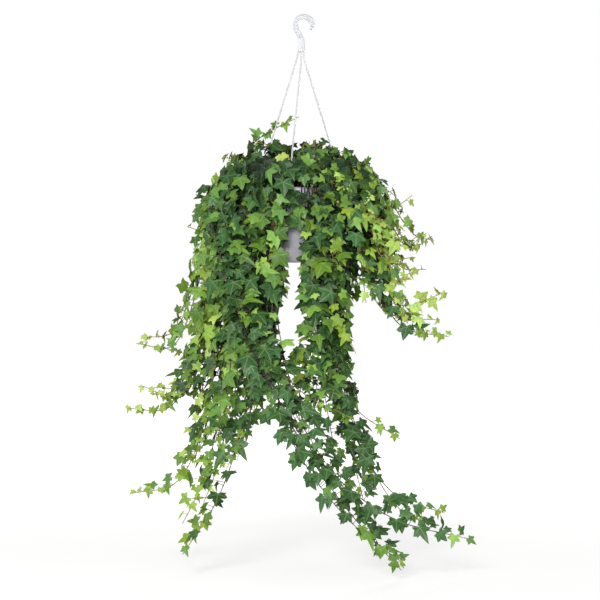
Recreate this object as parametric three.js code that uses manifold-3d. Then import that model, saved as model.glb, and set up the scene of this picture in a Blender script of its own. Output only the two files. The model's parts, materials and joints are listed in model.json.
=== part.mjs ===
// Hanging pot of trailing English ivy with small five-lobed leaves.
// A white moulded hanger (a hook with three legs) carries a tapered plastic pot by its rim.
// A drip saucer snaps under the pot, and the ivy's runners root in the soil, climb over
// the rim and hang down round the pot.
//
// Units are millimetres. +Z is up, -Y is the front and the origin is the inside of the
// hook's crown, the point that the whole object hangs from.
import * as THREE from "three";
import { mergeVertices } from "three/addons/utils/BufferGeometryUtils.js";
import Module from "manifold-3d";

const wasm = await Module();
wasm.setup();

// Driving dimensions

const GAP = 0.4; // clearance between pieces that lie against each other
const POT_X = -14; // the pot hangs a little to the left of the hook
const RIM_Z = -343; // top of the pot's rim
const ROUND = 22; // facets round the pot, the saucer and the soil

const pot = {
  rim: 107, // outer radius of the rim
  rimDrop: 12, // height of the rim's skirt
  top: 95.5, // outer radius of the wall under the rim
  bottom: 70,
  height: 132,
  wall: 2,
  plugHole: 6.5,
  drainHole: 4,
  drainCircle: 44,
};
const saucer = {
  top: 80, // outer radius of the wall under the lip
  bottom: 70,
  height: 25,
  wall: 1.8,
  lip: 2.2,
  below: 143, // underside, below the rim
  standRing: 30, // the ring that the pot stands on
  standHalf: 1.4,
  plug: 5.6,
  plugHead: 7.6,
};
const soil = {
  below: 17, // top edge, below the rim
  crown: 9, // how much the middle stands higher
  plugRoom: 9,
  stemHole: 6.4,
  stemDepth: 12,
};
const hook = {
  radius: 17, // of the centre line
  half: 5, // half the width of the section
  tipHalf: 3.2,
  stemHalf: 6.6,
  depth: 7,
  pocket: 2.2, // depth of the pocket in each side
  border: 1.7, // what is left round a pocket
  stemX: -4.4,
  stemEnd: -67,
};
const leg = {
  radius: 1.6,
  circle: 99.8, // radius of the holes in the rim
  hole: 2.4,
  knob: 3.8,
  sides: 5,
};
// Each leg's azimuth, and where it leaves the stem.
const legs = [
  { azimuth: -128, x: -8.8, split: -60 },
  { azimuth: -8, x: -4.4, split: -76 },
  { azimuth: 112, x: -0.2, split: -76 },
];

const blade = {
  thickness: 0.8,
  droop: 0.22, // how far a lobe's tip bends down, as a share of the width
  petiole: 0.6, // half the petiole's width where it meets the blade
  foot: 0.8, // half its width along the stem
};
const stem = {
  root: 2, // radius where it leaves the soil
  tip: 1.1,
  bends: [22, 50, 72, 98], // where it has rings on its way out of the soil and over the rim
  longest: 68, // stretch without a ring
  apart: 8, // least distance from such a ring to a leaf
  twist: 0.8, // most that one ring turns from the last, in radians
};
const room = { leaf: 0.5, stem: 1, skin: 0.1 }; // kept between a leaf, other runners and its own
const stride = { hanging: 87, shoot: 20, spray: 26 }; // between the leaves that are built
const firstLeaf = { hanging: 62, shoot: 34, spray: 60 }; // from the root

// How a hanging runner leaves the pot.
const overRim = {
  roots: [78, 60], // radius of the root, in turn
  rise: 12, // straight up out of the soil
  inside: 12, // how far inside the rim's edge it passes over
  lift: [20, 30], // height of that pass: least, and what a random draw adds
  shoulder: 36, // where the fall starts, below the rim
  step: 110, // fall between two points of the route
};

// Where the light comes from for a leaf: from above, and the further out also from that side.
const light = { up: 0.62, inner: 0.15, outer: 0.84, from: 50, over: 90 };

// How leaves stand on their stem. A pair is the least value and what a random draw may add.
const habit = {
  size: [0.82, 0.36], // width, as a share of the runner's
  space: [9, 15], // to the next leaf: after the youngest, and what full growth adds
  spread: [0.8, 0.4], // share of that space
  length: [0.4, 0.4], // of the petiole, as a share of the width
  aside: 0.75, // how far the petiole points to the side of the stem
  raise: [0.5, 0.5], // to the light
  ahead: [0, 0.45], // and along the stem
  lean: [-0.3, 0.45], // least and most that it leans along the stem
  turn: [-0.15, 0.7], // how far the blade faces to the side
  pitch: [-0.4, 0.8], // and along the stem
  follow: 0.45, // how far its tip points along the petiole
  fall: 0.75, // down
  swing: [0, 0.6], // to the side
  outward: 0.3, // and away from the pot
  inLine: 0.72, // least cosine between its midrib and its petiole, seen from above the blade
};

const plastic = { roughness: 0.4, metalness: 0 };
const whitePlastic = new THREE.MeshStandardMaterial({ color: 0xeef0f3, ...plastic });
const potPlastic = new THREE.MeshStandardMaterial({ color: 0xd6d5dd, ...plastic });
const pottingSoil = new THREE.MeshStandardMaterial({ color: 0x2f2219, roughness: 0.95, metalness: 0 });
const ivyGreen = new THREE.MeshStandardMaterial({ color: 0x3c6b35, roughness: 0.45, metalness: 0 });

// Helpers

const { lerp, clamp, smoothstep, degToRad } = THREE.MathUtils;
const drawn = ([least, spread], share) => least + spread * share;
const vector = (x, y, z) => new THREE.Vector3(x, y, z);
const UP = vector(0, 0, 1);
const SOIL_Z = RIM_Z - soil.below;

// A point at a radius and azimuth round the pot's axis. Azimuth 0 is the front and 90 the right.
function polar(radius, azimuth, z) {
  const a = degToRad(azimuth);
  return vector(POT_X + radius * Math.sin(a), -radius * Math.cos(a), z);
}

// A repeatable random number from 0 to 1 for a runner, a leaf on it and a use.
function dice(runner, leaf, use) {
  let h = Math.imul(runner + 1, 0x9e3779b1);
  h ^= Math.imul(leaf + 1, 0x85ebca6b) ^ Math.imul(use + 1, 0xc2b2ae35);
  h = Math.imul(h ^ (h >>> 15), 0x2c1b3c6d);
  h = Math.imul(h ^ (h >>> 12), 0x297a2d39);
  return ((h ^ (h >>> 15)) >>> 0) / 2 ** 32;
}

// A closed three.js geometry as a manifold solid.
function solidOf(geometry) {
  const bare = new THREE.BufferGeometry().setAttribute("position", geometry.getAttribute("position"));
  if (geometry.index) bare.setIndex(geometry.index);
  const merged = mergeVertices(bare, 1e-3);
  const corners = Array.from(merged.index.array);
  const triVerts = [];
  for (let i = 0; i < corners.length; i += 3) {
    const [a, b, c] = corners.slice(i, i + 3);
    if (a !== b && b !== c && c !== a) triVerts.push(a, b, c);
  }
  return new wasm.Manifold(
    new wasm.Mesh({
      numProp: 3,
      vertProperties: new Float32Array(merged.attributes.position.array),
      triVerts: new Uint32Array(triVerts),
    }),
  );
}

// A closed solid from its corners and triangles.
function solidFrom(points, triangles) {
  const geometry = new THREE.BufferGeometry().setFromPoints(points);
  return solidOf(geometry.setIndex(triangles.flat()));
}

// A manifold solid as a named mesh.
function meshOf(name, solid, look) {
  const { vertProperties, triVerts } = solid.getMesh();
  const geometry = new THREE.BufferGeometry();
  geometry.setAttribute("position", new THREE.BufferAttribute(new Float32Array(vertProperties), 3));
  geometry.setIndex(new THREE.BufferAttribute(new Uint32Array(triVerts), 1));
  geometry.computeVertexNormals();
  const mesh = new THREE.Mesh(geometry, look);
  mesh.name = name;
  return mesh;
}

// A body of revolution about the pot's axis. Its profile holds [radius, height over the rim],
// goes anticlockwise and either closes on itself or starts and ends on the axis.
function turned(profile) {
  const points = profile.map(([r, z]) => new THREE.Vector2(r, z));
  const onAxis = profile[0][0] === 0;
  const geometry = new THREE.LatheGeometry(onAxis ? points : [...points, points[0]], ROUND);
  return solidOf(geometry.rotateX(Math.PI / 2).translate(POT_X, 0, RIM_Z));
}

// An upright round cutter between two heights.
function drill(radius, low, high, x, y, sides) {
  const geometry = new THREE.CylinderGeometry(radius, radius, high - low, sides);
  return solidOf(geometry.rotateX(Math.PI / 2).translate(x, y, (low + high) / 2));
}

// A limb with a given number of sides through a list of points, tapered from one radius to another.
function limb(points, sides, first, last = first) {
  const ends = points.length - 1;
  const corners = [];
  let spoke = vector(0, 1, 0);
  points.forEach((point, i) => {
    const along = points[Math.min(i + 1, ends)].clone().sub(points[Math.max(i - 1, 0)]).normalize();
    spoke = spoke.clone().addScaledVector(along, -spoke.dot(along)).normalize();
    const binormal = along.clone().cross(spoke);
    const radius = lerp(first, last, i / ends);
    for (let j = 0; j < sides; j++) {
      const a = (2 * Math.PI * j) / sides;
      const corner = point.clone().addScaledVector(spoke, radius * Math.cos(a));
      corners.push(corner.addScaledVector(binormal, radius * Math.sin(a)));
    }
  });
  const triangles = [];
  for (let i = 0; i < ends; i++) {
    for (let j = 0; j < sides; j++) {
      const a = i * sides + j;
      const b = i * sides + ((j + 1) % sides);
      triangles.push([a, b, b + sides], [a, b + sides, a + sides]);
    }
  }
  const far = ends * sides;
  for (let j = 1; j < sides - 1; j++) triangles.push([0, j + 1, j], [far, far + j, far + j + 1]);
  return solidFrom(corners, triangles);
}

// The hanger: hook, stem and three legs, moulded in one piece

// The hook's centre line in its own upright plane: from the tip over the crown and back in
// to the stem.
function hookLine() {
  const line = new THREE.Path();
  line.absarc(0, hook.half - hook.radius, hook.radius, degToRad(-35), degToRad(205), false);
  line.bezierCurveTo(-11.2, -28.3, hook.stemX, -36, hook.stemX, -47);
  return line.lineTo(hook.stemX, hook.stemEnd);
}

// The outline of a stretch of the hook between two shares of its line, drawn in by an inset.
function hookOutline(from, to, inset, count) {
  const line = hookLine();
  const left = [];
  const right = [];
  for (let i = 0; i <= count; i++) {
    const u = lerp(from, to, i / count);
    const centre = line.getPointAt(u);
    const along = line.getTangentAt(u);
    const body = lerp(hook.tipHalf, hook.half, smoothstep(u, 0, 0.12));
    const half = lerp(body, hook.stemHalf, smoothstep(u, 0.7, 0.85)) - inset;
    const across = new THREE.Vector2(-along.y, along.x);
    left.push(centre.clone().addScaledVector(across, half));
    right.unshift(centre.clone().addScaledVector(across, -half));
  }
  return new THREE.Shape([...left, ...right]);
}

// A flat shape in the hook's plane, between two depths.
function plate(shape, near, far) {
  const geometry = new THREE.ExtrudeGeometry(shape, { depth: far - near, bevelEnabled: false });
  return solidOf(geometry.rotateX(Math.PI / 2).translate(0, far, 0));
}

// A leg runs from the stem to its place on the rim and straight down through the flange to a knob.
function legSolid({ azimuth, x, split }) {
  const foot = (z) => polar(leg.circle, azimuth, RIM_Z + z);
  const away = vector(x, 0, split).lerp(foot(16), 0.05).add(vector(0, 0, -2));
  const route = [vector(x, 0, split + 12), vector(x, 0, split), away, foot(16), foot(9), foot(-5)];
  const rod = limb(route, leg.sides, leg.radius);
  const knob = [[0, -9.5], [2, -9.5], [leg.knob, -4.6], [leg.knob, -pot.wall - GAP], [0, -pot.wall - GAP]];
  const cap = new THREE.LatheGeometry(knob.map(([r, z]) => new THREE.Vector2(r, z)), 6);
  return rod.add(solidOf(cap.rotateX(Math.PI / 2).translate(...foot(0))));
}

function hangerSolid() {
  const face = hook.depth / 2;
  const floor = face - hook.pocket;
  const pocket = hookOutline(0.05, 0.76, hook.border, 12);
  let made = plate(hookOutline(0, 1, 0, 18), -face, face);
  made = made.subtract(plate(pocket, floor, face + 1)).subtract(plate(pocket, -face - 1, -floor));
  for (const each of legs) made = made.add(legSolid(each));
  return made;
}

// The pot, the saucer and the soil

// The pot wall's outer radius at a height over the rim.
function wallRadius(z) {
  return lerp(pot.top, pot.bottom, -z / pot.height);
}

function potSolid() {
  const { rim, rimDrop, wall, height } = pot;
  const floor = wall - height;
  let made = turned([
    [pot.plugHole, -height], [wallRadius(-height), -height], [wallRadius(-wall), -wall],
    [rim - wall, -wall], [rim - wall, -rimDrop], [rim - 0.6, -rimDrop], [rim, 0],
    [wallRadius(0) - wall, 0], [wallRadius(floor) - wall, floor], [pot.plugHole, floor],
  ]);
  for (const { azimuth } of legs) {
    const { x, y } = polar(leg.circle, azimuth, 0);
    made = made.subtract(drill(leg.hole, RIM_Z - wall - 1, RIM_Z + 1, x, y, 6));
  }
  for (const azimuth of [45, 135, 225, 315]) {
    const { x, y } = polar(pot.drainCircle, azimuth, 0);
    made = made.subtract(drill(pot.drainHole, RIM_Z - height - 1, RIM_Z + floor + 1, x, y, 6));
  }
  return made;
}

// The saucer carries the pot on a ring and holds on by a plug through the pot's middle hole.
function saucerSolid() {
  const { top, bottom, wall, below, lip, standRing, standHalf, plug, plugHead } = saucer;
  const floor = wall - below;
  const edge = saucer.height - below;
  const over = pot.wall - pot.height + GAP;
  return turned([
    [0, -below], [bottom, -below], [top, edge - lip], [top + lip, edge - lip], [top + lip, edge],
    [top - wall, edge], [bottom - wall, floor], [standRing + standHalf, floor],
    [standRing + standHalf, -pot.height - GAP], [standRing - standHalf, -pot.height - GAP],
    [standRing - standHalf, floor], [plug, floor], [plug, over], [plugHead, over],
    [plug - 1, over + 5], [0, over + 5],
  ]);
}

// The soil fills the pot to below its rim and stands a little higher in the middle.
function soilSolid(roots) {
  const floor = pot.wall - pot.height + GAP;
  const edge = -soil.below;
  const inner = pot.wall + GAP;
  const plugSide = saucer.plugHead + 2;
  let made = turned([
    [0, floor + soil.plugRoom], [plugSide, floor + soil.plugRoom], [plugSide, floor],
    [wallRadius(floor) - inner, floor], [wallRadius(edge) - inner, edge],
    [60, edge + soil.crown * 0.7], [0, edge + soil.crown],
  ]);
  for (const { x, y, z } of roots) {
    made = made.subtract(drill(soil.stemHole, z - 1, RIM_Z + 1, x, y, 3));
  }
  return made;
}

// The routes of the runners

// Each row is a runner that hangs: azimuth on the rim, sweep of the azimuth down to the tip,
// radius at the shoulder, radius at the tip, the tip's depth below the rim, how late the runner
// flares out, how far it dips under a straight fall, and the width of its grown leaves.
const hanging = [
  // left side
  [-97, 2, 152, 262, 318, 2.4, 95, 34],
  [-91, 4, 168, 320, 306, 1.8, 90, 34],
  [-84, 6, 158, 312, 388, 2.8, 110, 36],
  [-77, 5, 172, 345, 430, 2.6, 95, 36],
  [-70, 2, 150, 220, 486, 1.4, 10, 38],
  [-63, -2, 164, 352, 590, 3.2, 100, 38],
  [-56, 4, 146, 276, 645, 2.4, 40, 40],
  // front, left of the middle
  [-49, 114, 214, 364, 676, 3.4, 70, 40],
  [-42, 84, 190, 294, 726, 2.4, 0, 42],
  [-34, -14, 170, 205, 500, 1.2, 0, 42],
  [-26, -22, 142, 290, 700, 3.0, 20, 42],
  [-18, -8, 166, 185, 430, 1.0, 0, 44],
  [-12, -4, 150, 176, 400, 1.0, 0, 44],
  // front, right of the middle
  [9, 47, 146, 338, 622, 2.4, 80, 40],
  [16, 14, 170, 226, 322, 1.6, 20, 42],
  [22, 20, 140, 290, 480, 4.0, 50, 38],
  [29, 46, 168, 232, 118, 1.3, 10, 30],
  [35, -14, 146, 160, 400, 1.0, 0, 42],
  [42, 4, 170, 186, 225, 1.0, 0, 42],
  [49, 18, 148, 318, 290, 1.8, 60, 36],
  // right side
  [56, 10, 172, 300, 258, 2.0, 60, 36],
  [63, 16, 150, 298, 204, 2.2, 80, 34],
  [71, 0, 168, 186, 185, 1.0, 0, 38],
  [79, 10, 152, 258, 158, 1.6, 36, 30],
  [86, 0, 170, 270, 92, 1.5, 44, 32],
  [94, 2, 150, 234, 8, 1.4, 22, 28],
  [102, 0, 168, 192, 185, 1.2, 0, 38],
  // back
  [119, -6, 148, 172, 205, 1.3, 0, 38],
  [127, -8, 168, 214, 190, 1.8, 20, 38],
  [135, 16, 146, 180, 470, 1.2, 0, 40],
  [145, 8, 166, 178, 380, 1.0, 0, 42],
  [155, -12, 148, 260, 620, 2.2, 30, 40],
  [166, 4, 164, 190, 250, 1.2, 0, 38],
  [186, 16, 150, 182, 300, 1.2, 0, 40],
  [198, 14, 166, 240, 560, 1.6, 20, 40],
  [208, 4, 148, 190, 450, 1.0, 0, 42],
  [218, -4, 168, 280, 520, 1.9, 40, 38],
  [226, -4, 150, 200, 380, 1.2, 0, 40],
  [240, 4, 168, 236, 560, 1.6, 20, 38],
  [250, 6, 150, 230, 70, 1.4, 20, 28],
];

// Each row is a shoot of the crown: azimuth, radius at the root, sweep, radius at the tip,
// the tip's height over the rim, and the width of its grown leaves.
const upright = [
  [-78, 46, -12, 148, 66, 34],
  [-50, 22, -14, 96, 88, 36],
  [-28, 46, 14, 120, 62, 36],
  [8, 42, 12, 112, 70, 34],
  [34, 22, 14, 80, 92, 34],
  [60, 46, -8, 138, 66, 34],
  [88, 44, 10, 150, 56, 34],
  [126, 24, 6, 86, 90, 36],
  [150, 46, 12, 128, 62, 36],
  [180, 40, 12, 116, 70, 36],
  [214, 24, -14, 90, 88, 36],
  [256, 46, 8, 140, 62, 36],
];

// The one tall spray, behind the left leg: [radius, azimuth, height over the rim].
const sprayWidth = 32;
const spray = [
  [38, -106, -11],
  [44, -107, 12],
  [82, -113, 54],
  [108, -124, 96],
  [96, -150, 130],
  [64, -184, 154],
];

// The route of a hanging runner: up out of the soil, over the rim and down.
function hangingRoute([azimuth, sweep, shoulder, reach, depth, flare, dip], index) {
  const root = overRim.roots[index % 2];
  const lift = drawn(overRim.lift, dice(index, 0, 9));
  const points = [
    polar(root, azimuth, SOIL_Z - soil.stemDepth),
    polar(root + 1, azimuth, SOIL_Z + overRim.rise),
    polar(pot.rim - overRim.inside, azimuth, RIM_Z + lift),
    polar(lerp(pot.rim, shoulder, 0.5), azimuth, RIM_Z + lift * 0.8),
  ];
  const start = Math.min(overRim.shoulder, depth * 0.5 + 10);
  const count = Math.max(3, Math.round(depth / overRim.step));
  for (let i = 0; i <= count; i++) {
    const t = i / count;
    const radius = lerp(shoulder, reach, t ** flare);
    const fall = lerp(start, depth, t) + dip * Math.sin(Math.PI * t * t);
    points.push(polar(radius, azimuth + sweep * t ** 1.5, RIM_Z - fall));
  }
  return points;
}

// The route of a crown shoot: up and out in one arch.
function uprightRoute([azimuth, root, sweep, reach, height]) {
  const points = [polar(root, azimuth, SOIL_Z - soil.stemDepth)];
  for (let i = 0; i <= 3; i++) {
    const t = i / 3;
    const rise = lerp(overRim.rise, soil.below + height, Math.sin((Math.PI / 2) * t ** 0.8));
    points.push(polar(lerp(root + 1, reach, t ** 1.5), azimuth + sweep * t, SOIL_Z + rise));
  }
  return points;
}

function sprayRoute() {
  const start = polar(spray[0][0], spray[0][1], SOIL_Z - soil.stemDepth);
  return [start, ...spray.map(([r, a, z]) => polar(r, a, RIM_Z + z))];
}

function runnerOn(name, kind, route, width) {
  const curve = new THREE.CatmullRomCurve3(route, false, "catmullrom", 0.5);
  return { name, kind, curve, width, length: curve.getLength() };
}

// Every runner, with the width of its grown leaves.
const runners = [
  ...hanging.map((row, i) => runnerOn(`runner_${i + 1}`, "hanging", hangingRoute(row, i), row.at(-1))),
  ...upright.map((row, i) => runnerOn(`shoot_${i + 1}`, "shoot", uprightRoute(row), row.at(-1))),
  runnerOn("spray", "spray", sprayRoute(), sprayWidth),
];

// Leaves

// Half of a leaf's outline for a width of 1, from the middle lobe's tip round to the petiole,
// and the triangles of one face.
const grownLeaf = {
  half: [[0, 0.8], [0.19, 0.34], [0.5, 0.3], [0.36, -0.2]],
  face: [[8, 0, 1], [1, 2, 3], [1, 3, 4], [5, 6, 8], [6, 7, 8], [1, 4, 5], [1, 5, 8]],
};
const youngLeaf = {
  half: [[0, 0.82], [0.16, 0.26], [0.42, 0.02]],
  face: [[6, 0, 1], [1, 2, 3], [4, 5, 6], [1, 3, 4], [1, 4, 6]],
};
const growth = {
  tip: 0.34, // share of full width at the tip
  length: 140, // stretch of stem over which a leaf grows up
  lobed: 0.55, // share of full width from which a leaf has five lobes
};

// The leaves of a runner: petiole foot, blade base, blade directions, width and share of full growth.
function leavesOf({ kind, curve, length, width: full }, runner) {
  const found = [];
  const span = Math.min(growth.length, 0.6 * length);
  let s = firstLeaf[kind];
  for (let k = 0; s < length - 4; k++) {
    const draw = (pair, use) => drawn(pair, dice(runner, k, use));
    const grown = Math.min(1, growth.tip + ((1 - growth.tip) * (length - s)) / span);
    const width = full * grown * draw(habit.size, 0);
    const foot = curve.getPointAt(s / length);
    const along = curve.getTangentAt(s / length);
    const out = vector(foot.x - POT_X, foot.y, 0);
    const beyond = clamp((out.length() - light.from) / light.over, 0, 1);
    out.normalize();
    const sun = out.clone().multiplyScalar(lerp(light.inner, light.outer, beyond));
    sun.addScaledVector(UP, light.up).normalize();
    const side = along.clone().cross(sun).normalize().multiplyScalar(k % 2 ? 1 : -1);

    const petiole = side.clone().multiplyScalar(habit.aside).addScaledVector(sun, draw(habit.raise, 1));
    petiole.addScaledVector(along, draw(habit.ahead, 2)).normalize();
    const lean = petiole.dot(along);
    petiole.addScaledVector(along, clamp(lean, ...habit.lean) - lean).normalize();
    const base = foot.clone().addScaledVector(petiole, width * draw(habit.length, 3));

    const face = sun.clone().addScaledVector(side, draw(habit.turn, 4));
    face.addScaledVector(along, draw(habit.pitch, 5)).normalize();
    const tip = petiole.clone().multiplyScalar(habit.follow).addScaledVector(UP, -habit.fall);
    tip.addScaledVector(side, draw(habit.swing, 6)).addScaledVector(out, habit.outward);
    tip.addScaledVector(face, -tip.dot(face)).normalize();
    const level = petiole.clone().addScaledVector(face, -petiole.dot(face)).normalize();
    const turn = tip.dot(level);
    if (turn < habit.inLine) {
      tip.addScaledVector(level, -turn).setLength(Math.sqrt(1 - habit.inLine ** 2));
      tip.addScaledVector(level, habit.inLine);
    }
    found.push({ foot, petiole, base, face, tip, width, s, grown });
    s += drawn(habit.space, grown) * draw(habit.spread, 7);
  }
  return found;
}

// The corners of a blade's upper and lower face. Its lobes droop. A margin makes it larger all round.
function bladeFaces({ base, face, tip, width, grown }, margin = 0) {
  const { half } = grown > growth.lobed ? grownLeaf : youngLeaf;
  const across = face.clone().cross(tip);
  const size = width + 2 * margin;
  const lobes = half.map(([x, y]) => [x * size, y * size]);
  const right = [...lobes, [blade.petiole + margin, -0.04 * width]];
  const outline = [...right, ...right.slice(1).reverse().map(([x, y]) => [-x, y])];
  const layer = (lift) => outline.map(([x, y]) => {
    const bend = (blade.droop * (x * x + y * y)) / width;
    return base.clone().addScaledVector(across, x).addScaledVector(tip, y).addScaledVector(face, lift - bend);
  });
  return [...layer(blade.thickness / 2 + margin), ...layer(-blade.thickness / 2 - margin)];
}

// The triangles of a blade whose corners start at a number. Its edge to the petiole stays open
// or is closed.
function bladeTriangles({ grown }, start, closed) {
  const { half, face } = grown > growth.lobed ? grownLeaf : youngLeaf;
  const n = 2 * half.length + 1;
  const triangles = face.flatMap(([a, b, c]) => [[a, b, c], [a + n, c + n, b + n]]);
  for (let j = 0; j < n; j++) {
    const next = (j + 1) % n;
    if (closed || j !== half.length) triangles.push([j, j + n, next + n], [j, next + n, next]);
  }
  return triangles.map((triangle) => triangle.map((corner) => corner + start));
}

// A blade as a closed solid.
const plateOf = (leaf, margin) => solidFrom(bladeFaces(leaf, margin), bladeTriangles(leaf, 0, true));

// A petiole as a closed solid, cut short at both ends by given lengths.
function stalkOf({ foot, petiole, base }, margin, fromStem = 0, fromBlade = 0) {
  const start = foot.clone().addScaledVector(petiole, fromStem);
  const end = base.clone().addScaledVector(petiole, -fromBlade);
  return limb([start, end], 3, blade.foot + margin, blade.petiole + margin);
}

// Where the rings of a runner's stem stand: at its bends, at each leaf and at the tip, and
// between those where they are far apart.
function stationsOf({ curve, length, leaves }) {
  const alone = (bend) => leaves.every(({ s }) => Math.abs(s - bend) > stem.apart);
  const bends = stem.bends.filter((bend) => bend < length && alone(bend));
  const stops = [0, ...bends, ...leaves.map(({ s }) => s), length].sort((a, b) => a - b);
  const places = [0];
  stops.slice(1).forEach((stop, i) => {
    const parts = Math.ceil((stop - stops[i]) / stem.longest);
    for (let k = 1; k <= parts; k++) places.push(lerp(stops[i], stop, k / parts));
  });
  const points = places.map((s) => curve.getPointAt(Math.min(1, s / length)));
  return places.map((s, i) => {
    const next = points[Math.min(i + 1, points.length - 1)];
    const along = next.clone().sub(points[Math.max(i - 1, 0)]).normalize();
    return { s, point: points[i], along, radius: lerp(stem.root, stem.tip, s / length) };
  });
}

const THIRD = (2 * Math.PI) / 3;

// A runner as one closed skin: three-sided rings along the stem, and at each leaf one side of
// the stem opens into the petiole and the blade.
function runnerSolid({ stations, leaves }) {
  const corners = [];
  const triangles = [];
  const between = (a, b) => corners[a].distanceTo(corners[b]);
  const quad = (a, b, c, d) => {
    if (between(a, c) < between(b, d)) triangles.push([a, b, c], [a, c, d]);
    else triangles.push([a, b, d], [b, c, d]);
  };
  const wall = (from, to, open = -1) => {
    for (let j = 0; j < 3; j++) {
      const k = (j + 1) % 3;
      if (j !== open) quad(from[j], from[k], to[k], to[j]);
    }
  };
  let spoke = vector(0, 1, 0);
  let turn = 0;
  let before = null;
  for (const { s, point, along, radius } of stations) {
    spoke = spoke.clone().addScaledVector(along, -spoke.dot(along)).normalize();
    const binormal = along.clone().cross(spoke);
    const ring = (shift) => [0, 1, 2].map((j) => {
      const a = turn + j * THIRD;
      const corner = point.clone().addScaledVector(along, shift);
      corner.addScaledVector(spoke, radius * Math.cos(a));
      return corners.push(corner.addScaledVector(binormal, radius * Math.sin(a))) - 1;
    });
    const leaf = leaves.find((each) => each.s === s);
    let open = -1;
    if (leaf) {
      const facing = Math.atan2(leaf.petiole.dot(binormal), leaf.petiole.dot(spoke));
      open = Math.round((facing - turn) / THIRD - 0.5);
      turn += clamp(facing - (open + 0.5) * THIRD - turn, -stem.twist, stem.twist);
      open = ((open % 3) + 3) % 3;
    }
    const lower = ring(leaf ? -blade.foot : 0);
    if (before) wall(before, lower);
    else triangles.push([lower[0], lower[2], lower[1]]);
    before = lower;
    if (!leaf) continue;
    before = ring(blade.foot);
    wall(lower, before, open);
    const start = corners.length;
    corners.push(...bladeFaces(leaf));
    triangles.push(...bladeTriangles(leaf, start, false));
    const half = (corners.length - start) / 2;
    const r = start + (half - 1) / 2;
    const beyond = (open + 1) % 3;
    const foot = [lower[open], lower[beyond], before[beyond], before[open]];
    const neck = nearestTurn(foot, [r, r + 1, r + 1 + half, r + half], corners);
    foot.forEach((corner, k) => quad(corner, foot[(k + 1) % 4], neck[(k + 1) % 4], neck[k]));
  }
  triangles.push(before);
  return solidFrom(corners, triangles);
}

// A second loop of four corners, started where it twists least against the first.
function nearestTurn(first, second, corners) {
  const spread = (loop) => {
    const middle = loop.reduce((sum, k) => sum.add(corners[k]), vector(0, 0, 0)).divideScalar(loop.length);
    return loop.map((k) => corners[k].clone().sub(middle));
  };
  const a = spread(first);
  const b = spread(second);
  const score = (shift) => a.reduce((sum, arm, k) => sum + arm.dot(b[(k + shift) % 4]), 0);
  const best = [0, 1, 2, 3].reduce((top, shift) => (score(shift) > score(top) ? shift : top));
  return second.map((_, k) => second[(k + best) % 4]);
}

// True where a solid meets none of the placed ones.
function isClear(solid, placed) {
  const box = solid.boundingBox();
  const beyond = (a, b) => [0, 1, 2].some((i) => a.min[i] > b.max[i]);
  const apart = (other) => beyond(box, other.box) || beyond(other.box, box);
  return placed.every((other) => apart(other) || solid.intersect(other.solid).isEmpty());
}

const hanger = hangerSolid();
const potShell = potSolid();
const dripSaucer = saucerSolid();

// Stems a little stouter than they are built, to test for room.
const item = (solid, owner) => ({ solid, owner, box: solid.boundingBox() });
const placed = [hanger, potShell, dripSaucer].map((solid) => item(solid));
runners.forEach(({ curve, length }, owner) => {
  const points = curve.getSpacedPoints(Math.round(length / 20));
  placed.push(item(limb(points, 4, stem.root + room.stem, stem.tip + room.stem), owner));
});

// True where a leaf stands clear of every other runner and of the rest of its own.
function hasRoom(leaf, owner) {
  const others = placed.filter((each) => each.owner !== owner);
  if (!isClear(plateOf(leaf, room.leaf), others)) return false;
  if (!isClear(stalkOf(leaf, room.leaf), others)) return false;
  const own = placed.filter((each) => each.owner === owner);
  const plate = plateOf(leaf, room.skin);
  const free = stalkOf(leaf, room.skin, 5);
  const short = item(stalkOf(leaf, 0, 0, 3.5));
  return isClear(plate, [short, ...own]) && isClear(free, own);
}

// From the tip back, each runner keeps the leaves that have room, a stride apart.
for (const [index, runner] of runners.entries()) {
  runner.leaves = [];
  let last = Infinity;
  for (const leaf of leavesOf(runner, index).reverse()) {
    if (last - leaf.s < stride[runner.kind] * leaf.grown || !hasRoom(leaf, index)) continue;
    runner.leaves.unshift(leaf);
    placed.push(item(plateOf(leaf, 0), index), item(stalkOf(leaf, 0), index));
    last = leaf.s;
  }
  runner.stations = stationsOf(runner);
  const bare = item(runnerSolid({ stations: runner.stations, leaves: [] }));
  runner.leaves = runner.leaves.filter((leaf) => isClear(plateOf(leaf, room.skin), [bare]));
}

const object = new THREE.Group();
object.add(meshOf("hanger", hanger, whitePlastic));
object.add(meshOf("pot", potShell, potPlastic));
object.add(meshOf("saucer", dripSaucer, potPlastic));
object.add(meshOf("soil", soilSolid(runners.map(({ curve }) => curve.getPoint(0))), pottingSoil));
for (const runner of runners) object.add(meshOf(runner.name, runnerSolid(runner), ivyGreen));

export default object;
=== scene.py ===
"""A trailing English ivy in a white hanging pot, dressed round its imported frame.

The plant's routes are worked out in millimetres, as the frame's own are, and made in metres.
"""

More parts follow.
